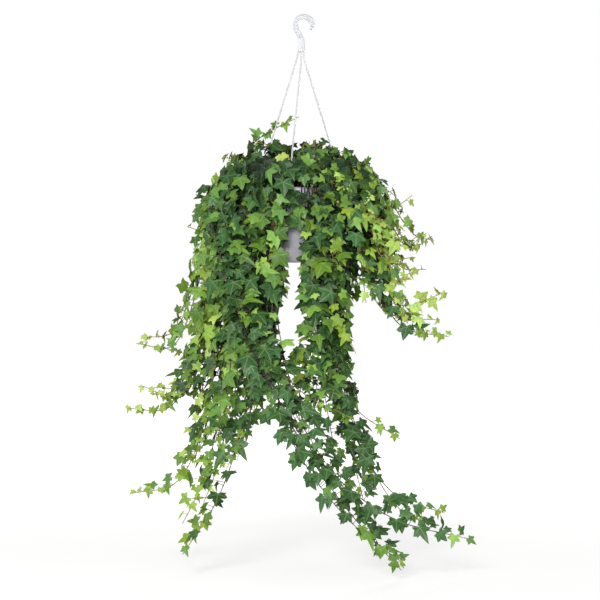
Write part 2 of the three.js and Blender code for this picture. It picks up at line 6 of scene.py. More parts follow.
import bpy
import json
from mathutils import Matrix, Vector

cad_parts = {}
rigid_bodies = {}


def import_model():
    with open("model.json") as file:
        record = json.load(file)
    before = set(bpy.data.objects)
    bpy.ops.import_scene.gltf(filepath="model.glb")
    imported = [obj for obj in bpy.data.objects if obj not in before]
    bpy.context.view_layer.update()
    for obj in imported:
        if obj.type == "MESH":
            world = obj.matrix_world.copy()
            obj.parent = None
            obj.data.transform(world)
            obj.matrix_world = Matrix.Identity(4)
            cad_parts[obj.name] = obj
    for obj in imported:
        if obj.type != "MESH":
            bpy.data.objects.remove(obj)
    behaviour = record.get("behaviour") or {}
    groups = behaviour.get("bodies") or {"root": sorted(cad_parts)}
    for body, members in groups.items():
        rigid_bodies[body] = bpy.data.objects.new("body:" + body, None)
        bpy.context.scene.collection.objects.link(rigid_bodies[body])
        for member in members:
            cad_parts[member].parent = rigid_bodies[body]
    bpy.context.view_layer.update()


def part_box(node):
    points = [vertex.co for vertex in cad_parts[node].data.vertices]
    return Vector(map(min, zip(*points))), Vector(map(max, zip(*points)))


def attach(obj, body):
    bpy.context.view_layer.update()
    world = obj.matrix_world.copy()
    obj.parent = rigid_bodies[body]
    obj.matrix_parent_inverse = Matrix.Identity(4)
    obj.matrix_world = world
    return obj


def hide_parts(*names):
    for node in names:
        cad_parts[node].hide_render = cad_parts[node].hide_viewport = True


bl_info = {
    "name": "Hanging English Ivy",
    "version": (1, 0, 0),
    "blender": (4, 5, 0),
    "location": "View3D > Sidebar > Ivy",
    "description": "Makes a trailing ivy in a plastic pot with a moulded hanger",
    "category": "Object",
}

import json
import math

import bmesh
import bpy
import numpy as np
from mathutils import Vector, noise

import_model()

# The frame

BODY = "root"
MM = 0.001
POT_LOW, POT_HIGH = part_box("pot")
SAUCER_LOW, SAUCER_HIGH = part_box("saucer")
POT_X = round((POT_LOW.x + POT_HIGH.x) / 2 / MM)
RIM_Z = round(POT_HIGH.z / MM)
RIM = round((POT_HIGH.y - POT_LOW.y) / 2 / MM)
POT_HEIGHT = round((POT_HIGH.z - POT_LOW.z) / MM)
SAUCER_DEPTH = RIM_Z - round(SAUCER_LOW.z / MM)
SAUCER_HEIGHT = round((SAUCER_HIGH.z - SAUCER_LOW.z) / MM)
GAP = 0.4  # between pieces that lie against each other
UP = np.array([0.0, 0.0, 1.0])
FRONT = np.array([0.0, -1.0, 0.0])

# The pot, the saucer, the soil and the hanger, in millimetres

POT = {
    "rim_drop": 12, "rim_draft": 0.6, "top": 95.5, "bottom": 70, "wall": 2, "plug_hole": 6.5, "drain_hole": 4,
    "drain_circle": 44, "drains": (45, 135, 225, 315), "mouth": 0.7, "corner": 1.2,
}
SAUCER = {
    "top": 80, "bottom": 70, "wall": 1.8, "lip": 2.2, "stand_ring": 30, "stand_half": 1.4, "plug": 5.6,
    "plug_head": 7.6, "plug_tip": 5, "corner": 0.8,
}
SOIL = {
    "below": 17, "crown": 9, "depth": 12, "plug_room": 9, "plug_clear": 2, "middle": 60, "slope": 0.7,
    "edge": 6, "clod": 0.07, "clods": (-1.0, 2.2), "rings": 34, "sides": 120,
}
CRUMBS = {"count": 620, "size": (2.2, 4.6), "forms": 4, "inside": 4, "over": 0.6, "seed": 5}
HOOK = {
    "radius": 17, "arc": (-35, 205), "bend": [(-11.2, -28.3), (-4.4, -36)], "stem_x": -4.4, "stem_top": -47,
    "stem_end": -67, "half": 5, "tip_half": 3.2, "stem_half": 6.6, "depth": 7, "pocket": 2.2, "border": 1.7,
    "rib": 1.3,
}
# Where the hook's section changes, as shares of its length from the tip, and how its ends narrow.
HOOK_CHANGES = {
    "tip": (0, 0.12), "stem": (0.7, 0.85), "pocket_start": (0.03, 0.07), "pocket_end": (0.73, 0.77),
}
HOOK_ENDS = {"tip": [0.62, 0.88], "stem": [0.94, 0.84, 0.66]}
LEG = {
    "radius": 1.6, "circle": 99.8, "hole": 2.4, "corner": 6, "root": 12, "away": 0.05, "dip": 2,
    "feet": (16, 9, -5),
}
LEGS = [  # azimuth on the rim, and where the leg leaves the stem
    (-128, -8.8, -60),
    (-8, -4.4, -76),
    (112, -0.2, -76),
]
UNDER_RIM = -POT["wall"] - GAP
KNOB = [(0.5, -9.5), (2, -9.4), (3, -7.6), (3.7, -5.2), (3.8, -4.4), (3.5, UNDER_RIM - 0.3), (1, UNDER_RIM)]
SOIL_Z = RIM_Z - SOIL["below"]

# The runners. Each row is a runner that hangs: azimuth on the rim, sweep of the azimuth down to
# the tip, radius at the shoulder and at the tip, the tip's depth below the rim, how late the
# runner flares out, how far it dips under a straight fall, and the width of its grown leaves.

HANGING = [
    # left side
    (-97, 2, 152, 262, 318, 2.4, 95, 34),
    (-91, 4, 168, 320, 306, 1.8, 90, 34),
    (-84, 6, 158, 312, 388, 2.8, 110, 36),
    (-77, 5, 172, 345, 430, 2.6, 95, 36),
    (-70, 2, 150, 220, 486, 1.4, 10, 38),
    (-63, -2, 164, 352, 590, 3.2, 100, 38),
    (-56, 4, 146, 276, 645, 2.4, 40, 40),
    # front, left of the middle
    (-49, 114, 214, 364, 676, 3.4, 70, 40),
    (-42, 84, 190, 294, 726, 2.4, 0, 42),
    (-34, -14, 170, 205, 500, 1.2, 0, 42),
    (-26, -22, 142, 290, 700, 3.0, 20, 42),
    (-18, -8, 166, 185, 430, 1.0, 0, 44),
    (-12, -4, 150, 176, 400, 1.0, 0, 44),
    # front, right of the middle
    (9, 47, 146, 338, 622, 2.4, 80, 40),
    (16, 14, 170, 226, 322, 1.6, 20, 42),
    (22, 20, 140, 290, 480, 4.0, 50, 38),
    (29, 46, 168, 232, 118, 1.3, 10, 30),
    (35, -14, 146, 160, 400, 1.0, 0, 42),
    (42, 4, 170, 186, 225, 1.0, 0, 42),
    (49, 18, 148, 318, 290, 1.8, 60, 36),
    # right side
    (56, 10, 172, 300, 258, 2.0, 60, 36),
    (63, 16, 150, 298, 204, 2.2, 80, 34),
    (71, 0, 168, 186, 185, 1.0, 0, 38),
    (79, 10, 152, 258, 158, 1.6, 36, 30),
    (86, 0, 170, 270, 92, 1.5, 44, 32),
    (94, 2, 150, 234, 8, 1.4, 22, 28),
    (102, 0, 168, 192, 185, 1.2, 0, 38),
    # back
    (119, -6, 148, 172, 205, 1.3, 0, 38),
    (127, -8, 168, 214, 190, 1.8, 20, 38),
    (135, 16, 146, 180, 470, 1.2, 0, 40),
    (145, 8, 166, 178, 380, 1.0, 0, 42),
    (155, -12, 148, 260, 620, 2.2, 30, 40),
    (166, 4, 164, 190, 250, 1.2, 0, 38),
    (186, 16, 150, 182, 300, 1.2, 0, 40),
    (198, 14, 166, 240, 560, 1.6, 20, 40),
    (208, 4, 148, 190, 450, 1.0, 0, 42),
    (218, -4, 168, 280, 520, 1.9, 40, 38),
    (226, -4, 150, 200, 380, 1.2, 0, 40),
    (240, 4, 168, 236, 560, 1.6, 20, 38),
    (250, 6, 150, 230, 70, 1.4, 20, 28),
]

# More runners of the same kind, which the frame leaves out.
FILL = {
    "ivy_left": [
        (-103, 8, 186, 316, 296, 1.9, 68, 34),
    ],
    "ivy_front_left": [
        (-30, 34, 176, 196, 430, 1.2, 0, 38),
        (-22, 26, 158, 186, 470, 1.2, 0, 38),
        (-46, 91, 192, 286, 716, 2.8, 34, 40),
        (-3, 0, 150, 152, 66, 1.0, 0, 30),
    ],
    "ivy_front_right": [
        (4, 40, 148, 210, 520, 1.8, 20, 38),
        (16, 40, 146, 320, 650, 2.0, 80, 38),
        (18, 24, 150, 232, 560, 2.0, 30, 38),
        (22, -22, 165, 180, 420, 1.0, 0, 40),
        (27, -20, 160, 178, 470, 1.2, 0, 38),
        (13, -5, 152, 168, 390, 1.0, 0, 36),
        (9, 2, 160, 178, 470, 1.0, 0, 38),
        (12, 30, 150, 190, 600, 1.4, 0, 36),
        (6, 20, 154, 190, 560, 1.3, 0, 38),
    ],
    "ivy_right": [
        (87, 16, 196, 280, 96, 1.5, 15, 32),
    ],
}

# Each row is a shoot of the crown: azimuth, radius at the root, sweep, radius at the tip, the
# tip's height over the rim, and the width of its grown leaves.
UPRIGHT = [
    (-78, 46, -12, 148, 66, 34),
    (-50, 22, -14, 96, 88, 36),
    (-28, 46, 14, 120, 62, 36),
    (8, 42, 12, 112, 70, 34),
    (34, 22, 14, 80, 92, 34),
    (60, 46, -8, 138, 66, 34),
    (88, 44, 10, 150, 56, 34),
    (126, 24, 6, 86, 90, 36),
    (150, 46, 12, 128, 62, 36),
    (180, 40, 12, 116, 70, 36),
    (214, 24, -14, 90, 88, 36),
    (256, 46, 8, 140, 62, 36),
]

# The one tall spray, behind the left leg: radius, azimuth and height over the rim.
SPRAY = [(38, -106, -11), (44, -107, 12), (82, -113, 54), (108, -124, 96), (96, -150, 130), (64, -184, 154)]
SPRAY_WIDTH = 32

FIRST_LEAF = {"hanging": 62, "shoot": 34, "spray": 60}
LAST_LEAF = 4  # how near a stem's tip its last leaf may stand
LEAF_WIDTHS = {"hanging": 1, "shoot": 0.84, "spray": 1.05}
# How a runner climbs from the soil over the rim. Neighbours root on two circles in turn.
OVER_RIM = {"roots": (78, 60), "rise": 12, "inside": 12, "lift": (20, 30), "shoulder": 36, "step": 110}
# How a leaf turns to the light: how much up, and how much outwards near the axis and far from it.
LIGHT = {"up": 0.62, "inner": 0.15, "outer": 0.84, "from": 50, "over": 90}
# How grown the last leaf is, over what length of a stem leaves grow up, or what share of a short one,
# how grown a leaf with lobes is, and the widths of a runner's two sets of leaves.
GROWTH = {"tip": 0.34, "length": 140, "share": 0.6, "lobed": 0.55, "sets": (0.9, 0.6)}
# How leaves stand on their stem. A pair is the least value and what a random draw may add.
HABIT = {
    "size": (0.82, 0.36), "space": (9, 15), "spread": (0.8, 0.4), "length": (0.4, 0.4), "aside": 0.75,
    "raise": (0.5, 0.5), "ahead": (0, 0.45), "lean": (-0.3, 0.45), "turn": (-0.15, 0.7), "pitch": (-0.4, 0.8),
    "follow": 0.45, "fall": 0.75, "swing": (0, 0.6), "outward": 0.3, "in_line": 0.72,
}
BENDS = {"droop": (0.12, 0.26), "fold": (-0.12, 0.5), "curl": (-0.4, 0.8)}  # pairs too, for the blades
SMALLER = 2000  # what a runner's own number grows by for its second set of leaves, the smaller ones
SMALL_FROM = 0.52  # how grown that set is at least: the tips are bare of it

# How many are grown beside a row, and how they stray from it, in pairs again: degrees off its line,
# millimetres further out, and shares of its length, depth and leaves. Beside a runner that goes far
# out, the first one nearly follows it.
SIDE_RUNNERS = 3
SIDE_RUNNER = {
    "away": (1.8, 3.4), "shift": (12, -30), "share": (0.36, 0.56), "drop": (0.9, 0.2), "width": (0.66, 0.3),
}
FAR = {"spread": 90, "sweep": 60, "depth": 440, "share": (0.8, 0.2), "away": 1.3}
SIDE_SHOOTS = 6
SIDE_SHOOT = {"azimuth": 34, "root": (0.5, 0.8), "sweep": 30, "reach": (0.2, 0.8), "size": (0.8, 0.3)}

# How a blade strays from the frame's own: degrees that it turns and tilts, how much it turns to the
# front at the plant's sides and outwards over the rim, and how its width changes near a tip, on a
# runner's first stretch, and far down, where leaves are older too.
LOOSE = {
    "turn": 36, "tilt": 34, "to_front": 0.8, "side": (110, 130), "behind": 120, "outward": 1.0,
    "high": (RIM_Z, RIM_Z + 50), "axis": 30, "crown_small": 0.14, "low": 0.06, "low_older": 0.34,
    "low_from": (620, 820), "spray_stalk": 0.5,
    "tip_size": {"hanging": 0.8, "outer": 0.8, "pale": 1.9, "shoot": 1.9, "spray": 0.8},
}
# Painted shade: a leaf's colour is darkened for the leaves that lie outwards of it: how far over it and
# how far aside they count, and how many make full shade. Outwards is away from a point that lies the dome
# below the rim, or level for leaves below it. Far from the axis the painted shade fades, and on a runner's
# first stretch and in the crown there is more. Shaded leaves look older. Stems are darkened by it too.
COVERED = {
    "over": (5, 80), "aside": 20, "leaves": 7, "dome": 40, "open": (180, 270), "fade": 0.7, "older": 0.55,
    "stem": 0.7, "crown": 1.15, "crown_end": (90, 230),
}
# How much older than its growth a leaf looks by its runner's look, and what random draws add to that.
OLDER = {"hanging": 0.06, "shoot": 0.55, "spray": 0.1, "pale": -0.4, "small": -0.22, "outer": -0.4}
AGE = {"growth": 0.65, "spread": 0.75, "middle": 0.62, "runner": 0.25, "old_stem": 260, "shared_tone": 0.35}
STEM = {"thin": 0.72, "taper": 0.8, "node": 1.32}
STALK = {"sag": 0.05, "size": (0.55, 0.45), "girths": (1.25, 0.9, 0.8), "age": (0.2, 0.35)}
# Where blades are tested, in widths from the stalk, and how clear they and the stems stay.
CLEARANCE = {
    "middle": 0.3, "end": 0.8, "window": 0.16, "pot": 1.0, "leg": (0.15, 0.45), "leg_reach": 0.6,
    "leg_share": 0.3, "stem": 4, "stem_from": 60, "stem_step": 12,
}

# The numbers that keep random draws apart: what each is for, and the first number of each kind.
USES = {
    "size": 0, "raise": 1, "ahead": 2, "length": 3, "turn": 4, "pitch": 5, "swing": 6, "spread": 7, "lift": 9,
    "blade_turn": 10, "blade_nod": 11, "blade_roll": 12, "droop": 20, "fold": 21, "curl": 22, "age": 23,
    "stalk_tone": 24, "form": 25, "tone": 26, "stem_tone": 30, "runner_age": 31, "runner_tone": 32,
    "crown_shade": 33, "crumb": 40,
}
SEEDS = {"beside": 100, "side_runner": 200, "side_shoot": 400, "shoots": 600, "fill": 700, "crumbs": 900}

CAMERA = {"place": (-0.0076, -3.5, -0.562), "lens": 105.0, "sensor": 36.0}

# Where the leaves part, as left, right, bottom and top in a picture from the front. The first four
# show the pot, the next two the light under it, then the front leg of the hanger, and the last three
# the light beside the plant's right half.
WINDOWS = [
    (-20, 36, -344, -331),
    (-13, 8, -377, -366),
    (-7, 8, -402, -396),
    (-35, -8, -480, -418),
    (-35, -12, -526, -484),
    (-46, -15, -636, -560),
    (-34, -12, -290, -200),
    (96, 136, -728, -575),
    (110, 190, -800, -690),
    (155, 300, -944, -860),
]
CLEAR = (4, 5, 7, 8, 9)  # those that no added runner hangs through
PALE = {"hanging": (16, 21), "shoot": (0, 2, 11)}  # rows with young leaves all along

# The pieces of foliage, and the hanging runners that each stands for.
REGIONS = {
    "ivy_left": range(0, 7),
    "ivy_front_left": range(7, 13),
    "ivy_front_right": range(13, 20),
    "ivy_right": range(20, 27),
    "ivy_back_right": range(27, 33),
    "ivy_back_left": range(33, 40),
}
OUTER = ("ivy_left", "ivy_right")


# Sums that the whole plant shares


def lerp(a, b, share):
    return a + (b - a) * share


def clamp(value, low, high):
    return max(low, min(high, value))


def smoothstep(value, low, high):
    share = clamp((value - low) / (high - low), 0, 1)
    return share * share * (3 - 2 * share)


def unit(v):
    return v / np.linalg.norm(v)


def polar(radius, azimuth, z):
    """A point at a radius and azimuth round the pot's axis. Azimuth 0 is the front, 90 the right."""
    a = math.radians(azimuth)
    return np.array([POT_X + radius * math.sin(a), -radius * math.cos(a), z])


def dice(runner, leaf, use):
    """A repeatable random number from 0 to 1 for a runner, a leaf on it and a use, by name or number."""
    word = 0xFFFFFFFF
    h = (runner + 1) * 0x9E3779B1 & word
    h ^= ((leaf + 1) * 0x85EBCA6B ^ (USES.get(use, use) + 1) * 0xC2B2AE35) & word
    h = (h ^ h >> 15) * 0x2C1B3C6D & word
    h = (h ^ h >> 12) * 0x297A2D39 & word
    return (h ^ h >> 15) / 2**32


def drawn(pair, share):
    return pair[0] + pair[1] * share


class Route:
    """A smooth curve through points, measured along its length."""

    STEPS = 200

    def __init__(self, points):
        p = np.array(points, float)
        self.points = np.vstack([2 * p[0] - p[1], p, 2 * p[-1] - p[-2]])
        self.shares = np.linspace(0, 1, self.STEPS + 1)
        samples = np.array([self.at(t) for t in self.shares])
        steps = np.linalg.norm(np.diff(samples, axis=0), axis=1)
        self.lengths = np.concatenate([[0], np.cumsum(steps)])
        self.length = self.lengths[-1]

    def at(self, share):
        spans = len(self.points) - 3
        place = clamp(share, 0, 1) * spans
        span = min(int(place), spans - 1)
        w = place - span
        a, b, c, d = self.points[span:span + 4]
        out, into = (c - a) / 2, (d - b) / 2
        return b + out * w + (3 * (c - b) - 2 * out - into) * w**2 + (2 * (b - c) + out + into) * w**3

    def share(self, distance):
        return np.interp(distance, self.lengths, self.shares)

    def point(self, distance):
        return self.at(self.share(distance))

    def heading(self, distance):
        share = self.share(distance)
        return unit(self.at(share + 1e-4) - self.at(share - 1e-4))


# Meshes


def new_object(name, mesh):
    made = bpy.data.objects.new(name, mesh)
    bpy.context.scene.collection.objects.link(made)
    return made


def object_of(name, vertices, faces, smooth=True):
    """A new object from vertices in millimetres and faces, with its faces turned outwards."""
    mesh = bpy.data.meshes.new(name)
    mesh.from_pydata([tuple(MM * c for c in v) for v in vertices], [], faces)
    build = bmesh.new()
    build.from_mesh(mesh)
    bmesh.ops.remove_doubles(build, verts=build.verts, dist=1e-6)
    bmesh.ops.recalc_face_normals(build, faces=build.faces)
    build.to_mesh(mesh)
    build.free()
    mesh.polygons.foreach_set("use_smooth", [smooth] * len(mesh.polygons))
    return new_object(name, mesh)


def store(mesh, name, kind, values, domain="POINT"):
    """An attribute on a mesh, with a value for each of its points, edges or faces."""
    field = "vector" if kind == "FLOAT_VECTOR" else "value"
    mesh.attributes.new(name, kind, domain).data.foreach_set(field, np.ravel(values).tolist())


def rounded(profile, radius, closed):
    """A profile with its corners rounded. The ends of an open profile stay."""
    p = [np.array(q, float) for q in profile]
    points = []
    for i, corner in enumerate(p):
        if not closed and i in (0, len(p) - 1):
            points.append(corner)
            continue
        before, after = p[i - 1] - corner, p[(i + 1) % len(p)] - corner
        near = [min(radius, 0.45 * np.linalg.norm(arm)) for arm in (before, after)]
        start, end = corner + unit(before) * near[0], corner + unit(after) * near[1]
        for w in (0, 1 / 3, 2 / 3, 1):
            points.append((1 - w) ** 2 * start + 2 * w * (1 - w) * corner + w**2 * end)
    return points


def turned(name, profile, sides=96):
    """A body of revolution about the pot's axis. Its profile holds radius and height over the rim,
    and either closes on itself or starts and ends on the axis."""
    vertices = [polar(r, 360 * k / sides, RIM_Z + z) for k in range(sides) for r, z in profile]
    count = len(profile)
    closed = profile[0][0] > 0
    faces = []
    for k in range(sides):
        a, b = k * count, (k + 1) % sides * count
        for i in range(count if closed else count - 1):
            j = (i + 1) % count
            face = [a + i, a + j, b + j, b + i]
            if profile[i][0] == 0:
                face = [a + i, a + j, b + j]
            elif profile[j][0] == 0:
                face = [a + i, a + j, b + i]
            faces.append(face)
    return object_of(name, vertices, faces)


def rings(sections):
    """Vertices and faces of a closed skin through rings of equal count, capped at both ends."""
    count = len(sections[0])
    vertices = [point for ring in sections for point in ring]
    faces = [list(range(count))[::-1], list(range(len(vertices) - count, len(vertices)))]
    for k in range(len(sections) - 1):
        for i in range(count):
            j = (i + 1) % count
            a, b = k * count, (k + 1) * count
            faces.append([a + i, a + j, b + j, b + i])
    return vertices, faces


def rod(points, radii, sides):
    """Vertices and faces of a round rod through points."""
    points = [np.array(p, float) for p in points]
    spoke = np.array([0.0, 1.0, 0.0])
    sections = []
    for i, point in enumerate(points):
        along = unit(points[min(i + 1, len(points) - 1)] - points[max(i - 1, 0)])
        spoke = unit(spoke - along * spoke.dot(along))
        across = np.cross(along, spoke)
        turns = [2 * math.pi * k / sides for k in range(sides)]
        sections.append([point + radii[i] * (spoke * math.cos(a) + across * math.sin(a)) for a in turns])
    return rings(sections)


def joined(name, parts):
    """One object from several lists of vertices and faces."""
    vertices, faces = [], []
    for more_vertices, more_faces in parts:
        faces += [[i + len(vertices) for i in face] for face in more_faces]
        vertices += list(more_vertices)
    return object_of(name, vertices, faces)


def sharpen(piece, degrees):
    """Edges that turn more than an angle stay crisp."""
    piece.data.set_sharp_from_angle(angle=math.radians(degrees))


def finished(piece, materials, nodes):
    """A piece with its materials, riding on the body in place of the frame's nodes."""
    for material in materials:
        piece.data.materials.append(material)
    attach(piece, BODY)
    if nodes:
        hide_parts(*nodes)


# Node trees


def once(kept, name, make, *values):
    """A node group, a material or a collection that is made once and then shared."""
    return kept.get(name) or make(name, *values)


class Nodes:
    """Adds nodes to a tree and wires them, one call a node."""

    def __init__(self, tree):
        self.tree = tree

    def feed(self, node, inputs):
        """Each input takes a value or another node's output."""
        for name, value in inputs.items():
            if isinstance(value, bpy.types.NodeSocket):
                self.tree.links.new(value, node.inputs[name])
            else:
                node.inputs[name].default_value = value

    def add(self, kind, inputs=None, **settings):
        node = self.tree.nodes.new(kind)
        node.location = (190 * len(self.tree.nodes), 0)
        for key, value in settings.items():
            setattr(node, key, value)
        self.feed(node, inputs or {})
        return node

    def math(self, operation, a, b=0.0, clamped=False):
        return self.add("ShaderNodeMath", {0: a, 1: b}, operation=operation, use_clamp=clamped).outputs[0]

    def plus(self, a, b):
        return self.math("ADD", a, b)

    def minus(self, a, b, clamped=False):
        return self.math("SUBTRACT", a, b, clamped)

    def times(self, a, b):
        return self.math("MULTIPLY", a, b)

    def split(self, vector):
        return self.add("ShaderNodeSeparateXYZ", {"Vector": vector}).outputs

    def ramp(self, value, stops, smooth=True):
        """A colour ramp through stops of a position and a colour."""
        node = self.add("ShaderNodeValToRGB", {"Fac": value})
        elements = node.color_ramp.elements
        node.color_ramp.interpolation = "EASE" if smooth else "LINEAR"
        while len(elements) < len(stops):
            elements.new(0.5)
        for element, (place, colour) in zip(elements, stops):
            element.position = place
            element.color = (*colour[:3], 1)
        return node.outputs["Color"]

    def mask(self, value, low, high):
        node = self.add("ShaderNodeMapRange", {"Value": value, "From Min": low, "From Max": high}, clamp=True)
        return node.outputs["Result"]

    def mix(self, share, a, b, blend="MIX"):
        """Two colours mixed, each a colour or a node's output."""
        a, b = [c if isinstance(c, bpy.types.NodeSocket) else (*c[:3], 1) for c in (a, b)]
        node = self.add("ShaderNodeMix", {0: share, 6: a, 7: b}, data_type="RGBA", blend_type=blend)
        return node.outputs[2]

    def noise(self, where, scale, detail=3.0, roughness=0.5):
        inputs = {"Vector": where, "Scale": scale, "Detail": detail, "Roughness": roughness}
        return self.add("ShaderNodeTexNoise", inputs).outputs["Fac"]

    def read(self, name, output="Fac"):
        """An attribute of the piece, as a material reads it."""
        return self.add("ShaderNodeAttribute", attribute_name=name).outputs[output]

    def carried(self, name, kind="FLOAT"):
        """An attribute of the points or faces, as a geometry tree reads it."""
        node = self.add("GeometryNodeInputNamedAttribute", {"Name": name}, data_type=kind)
        return node.outputs["Attribute"]

    def laid(self, points, forms, inputs):
        """The forms of a collection, one on each point."""
        members = self.add("GeometryNodeCollectionInfo",
                           {"Collection": forms, "Separate Children": True, "Reset Children": True})
        inputs = inputs | {"Points": points, "Instance": members.outputs["Instances"], "Pick Instance": True}
        return self.add("GeometryNodeInstanceOnPoints", inputs).outputs["Instances"]

    def real(self, instances):
        return self.add("GeometryNodeRealizeInstances", {"Geometry": instances}).outputs["Geometry"]

    def dressed(self, geometry, material, selection=True):
        inputs = {"Geometry": geometry, "Selection": selection, "Material": material}
        return self.add("GeometryNodeSetMaterial", inputs).outputs["Geometry"]


class Finish(Nodes):
    """The nodes of a new material, with its surface shader."""

    def __init__(self, name):
        self.material = bpy.data.materials.new(name)
        self.material.use_nodes = True
        super().__init__(self.material.node_tree)
        self.shader = next(node for node in self.tree.nodes if node.type == "BSDF_PRINCIPLED")
        self.place = self.add("ShaderNodeTexCoord").outputs["Object"]

    def surface(self, colour, roughness, strength, depth, height, more=None):
        """The material with its colour, its roughness, a bump and what more its shader takes."""
        bump = self.add("ShaderNodeBump", {"Strength": strength, "Distance": depth, "Height": height})
        self.feed(self.shader, {"Base Color": colour, "Roughness": roughness, "Normal": bump.outputs[0]})
        self.feed(self.shader, more or {})
        return self.material


def new_tree(name, kind, inputs, outputs):
    """A node tree, its nodes and what its inputs give. The sockets are pairs of a name and a kind."""
    tree = bpy.data.node_groups.new(name, f"{kind}NodeTree")
    for way, sockets in (("INPUT", inputs), ("OUTPUT", outputs)):
        for label, socket in sockets:
            tree.interface.new_socket(label, in_out=way, socket_type=f"NodeSocket{socket}")
    nodes = Nodes(tree)
    return tree, nodes, nodes.add("NodeGroupInput").outputs


def veins_group(name):
    """The leaf's veins: five from the stalk to the lobes, and fine ones off the middle vein."""
    tree, nodes, given = new_tree(name, "Shader", [("Spot", "Vector"), ("Width", "Float")],
                                  [("Main", "Float"), ("Fine", "Float")])
    x, y, _ = nodes.split(given["Spot"])
    side = nodes.math("ABSOLUTE", x)
    strongest = 0.0
    for across, ahead in VEIN_WAYS:
        off = nodes.math("ABSOLUTE", nodes.minus(nodes.times(side, ahead), nodes.times(y, across)))
        along = nodes.plus(nodes.times(side, across), nodes.times(y, ahead))
        line = nodes.minus(1.0, nodes.math("DIVIDE", off, given["Width"]), clamped=True)
        ahead_only = nodes.times(line, nodes.math("GREATER_THAN", along, 0.0))
        strongest = nodes.math("MAXIMUM", strongest, ahead_only)
    slant = nodes.minus(y, nodes.times(side, 0.9))
    wave = nodes.math("ABSOLUTE", nodes.math("SINE", nodes.times(slant, 26.0)))
    fine = nodes.minus(1.0, nodes.times(wave, 5.0), clamped=True)
    nodes.add("NodeGroupOutput", {"Main": strongest, "Fine": fine})
    return tree


def wear_group(name):
    """Dust, water marks and scuffs on moulded plastic."""
    tree, nodes, given = new_tree(name, "Shader", [("Place", "Vector"), ("Dirt", "Float")],
                                  [("Stain", "Float"), ("Roughness", "Float"), ("Height", "Float")])
    place = given["Place"]
    streaks = nodes.add("ShaderNodeMapping", {"Vector": place, "Scale": (60.0, 60.0, 7.0)}).outputs[0]
    runs = nodes.mask(nodes.noise(streaks, 1.0, 4.0), 0.5, 0.78)
    specks = nodes.mask(nodes.noise(place, 900.0, 2.0), 0.62, 0.72)
    stain = nodes.times(nodes.math("MAXIMUM", runs, specks), given["Dirt"])
    rough = nodes.plus(nodes.times(nodes.noise(place, 45.0, 4.0), 0.2), nodes.times(stain, 0.3))
    height = nodes.plus(nodes.noise(place, 700.0, 3.0), nodes.times(stain, 0.4))
    nodes.add("NodeGroupOutput", {"Stain": stain, "Roughness": nodes.plus(rough, 0.24), "Height": height})
    return tree


# Materials


def plastic_material(name, colour, stain, dirt, milky):
    """Moulded plastic. A milky one lets light through its thin legs."""
    nodes = Finish(name)
    wear = nodes.add("ShaderNodeGroup", {"Place": nodes.place, "Dirt": dirt},
                     node_tree=once(bpy.data.node_groups, "Plastic wear", wear_group)).outputs
    clouds = nodes.mask(nodes.noise(nodes.place, 14.0, 2.0), 0.3, 0.7)
    body = nodes.mix(clouds, [c * 0.93 for c in colour], colour)
    return nodes.surface(nodes.mix(wear["Stain"], body, stain), wear["Roughness"], 0.3 * dirt, 0.0006,
                         wear["Height"], {"Subsurface Weight": milky, "Subsurface Radius": (1.0, 1.0, 1.0),
                                          "Subsurface Scale": 0.005})


def soil_material():
    nodes = Finish("potting_soil")
    clods = nodes.noise(nodes.place, 130.0, 6.0, 0.65)
    grains = nodes.add("ShaderNodeTexVoronoi", {"Vector": nodes.place, "Scale": 420.0}).outputs["Distance"]
    stops = [(0.3, (0.010, 0.006, 0.004)), (0.55, (0.034, 0.020, 0.012)), (0.8, (0.075, 0.047, 0.028))]
    height = nodes.plus(clods, nodes.times(grains, 0.5))
    return nodes.surface(nodes.ramp(clods, stops), 0.92, 0.8, 0.003, height)


def crumb_material():
    """Bark, peat and the odd white grain of perlite."""
    nodes = Finish("bark_crumbs")
    grain = nodes.noise(nodes.place, 500.0, 3.0)
    stops = [(0.0, (0.012, 0.007, 0.004)), (0.6, (0.06, 0.032, 0.017)), (0.86, (0.13, 0.075, 0.04)),
             (0.93, (0.62, 0.6, 0.55))]
    bark = nodes.ramp(nodes.read("tone"), stops, smooth=False)
    colour = nodes.mix(nodes.mask(grain, 0.35, 0.7), bark, (0.9, 0.9, 0.9), "MULTIPLY")
    return nodes.surface(colour, 0.85, 0.6, 0.001, grain)


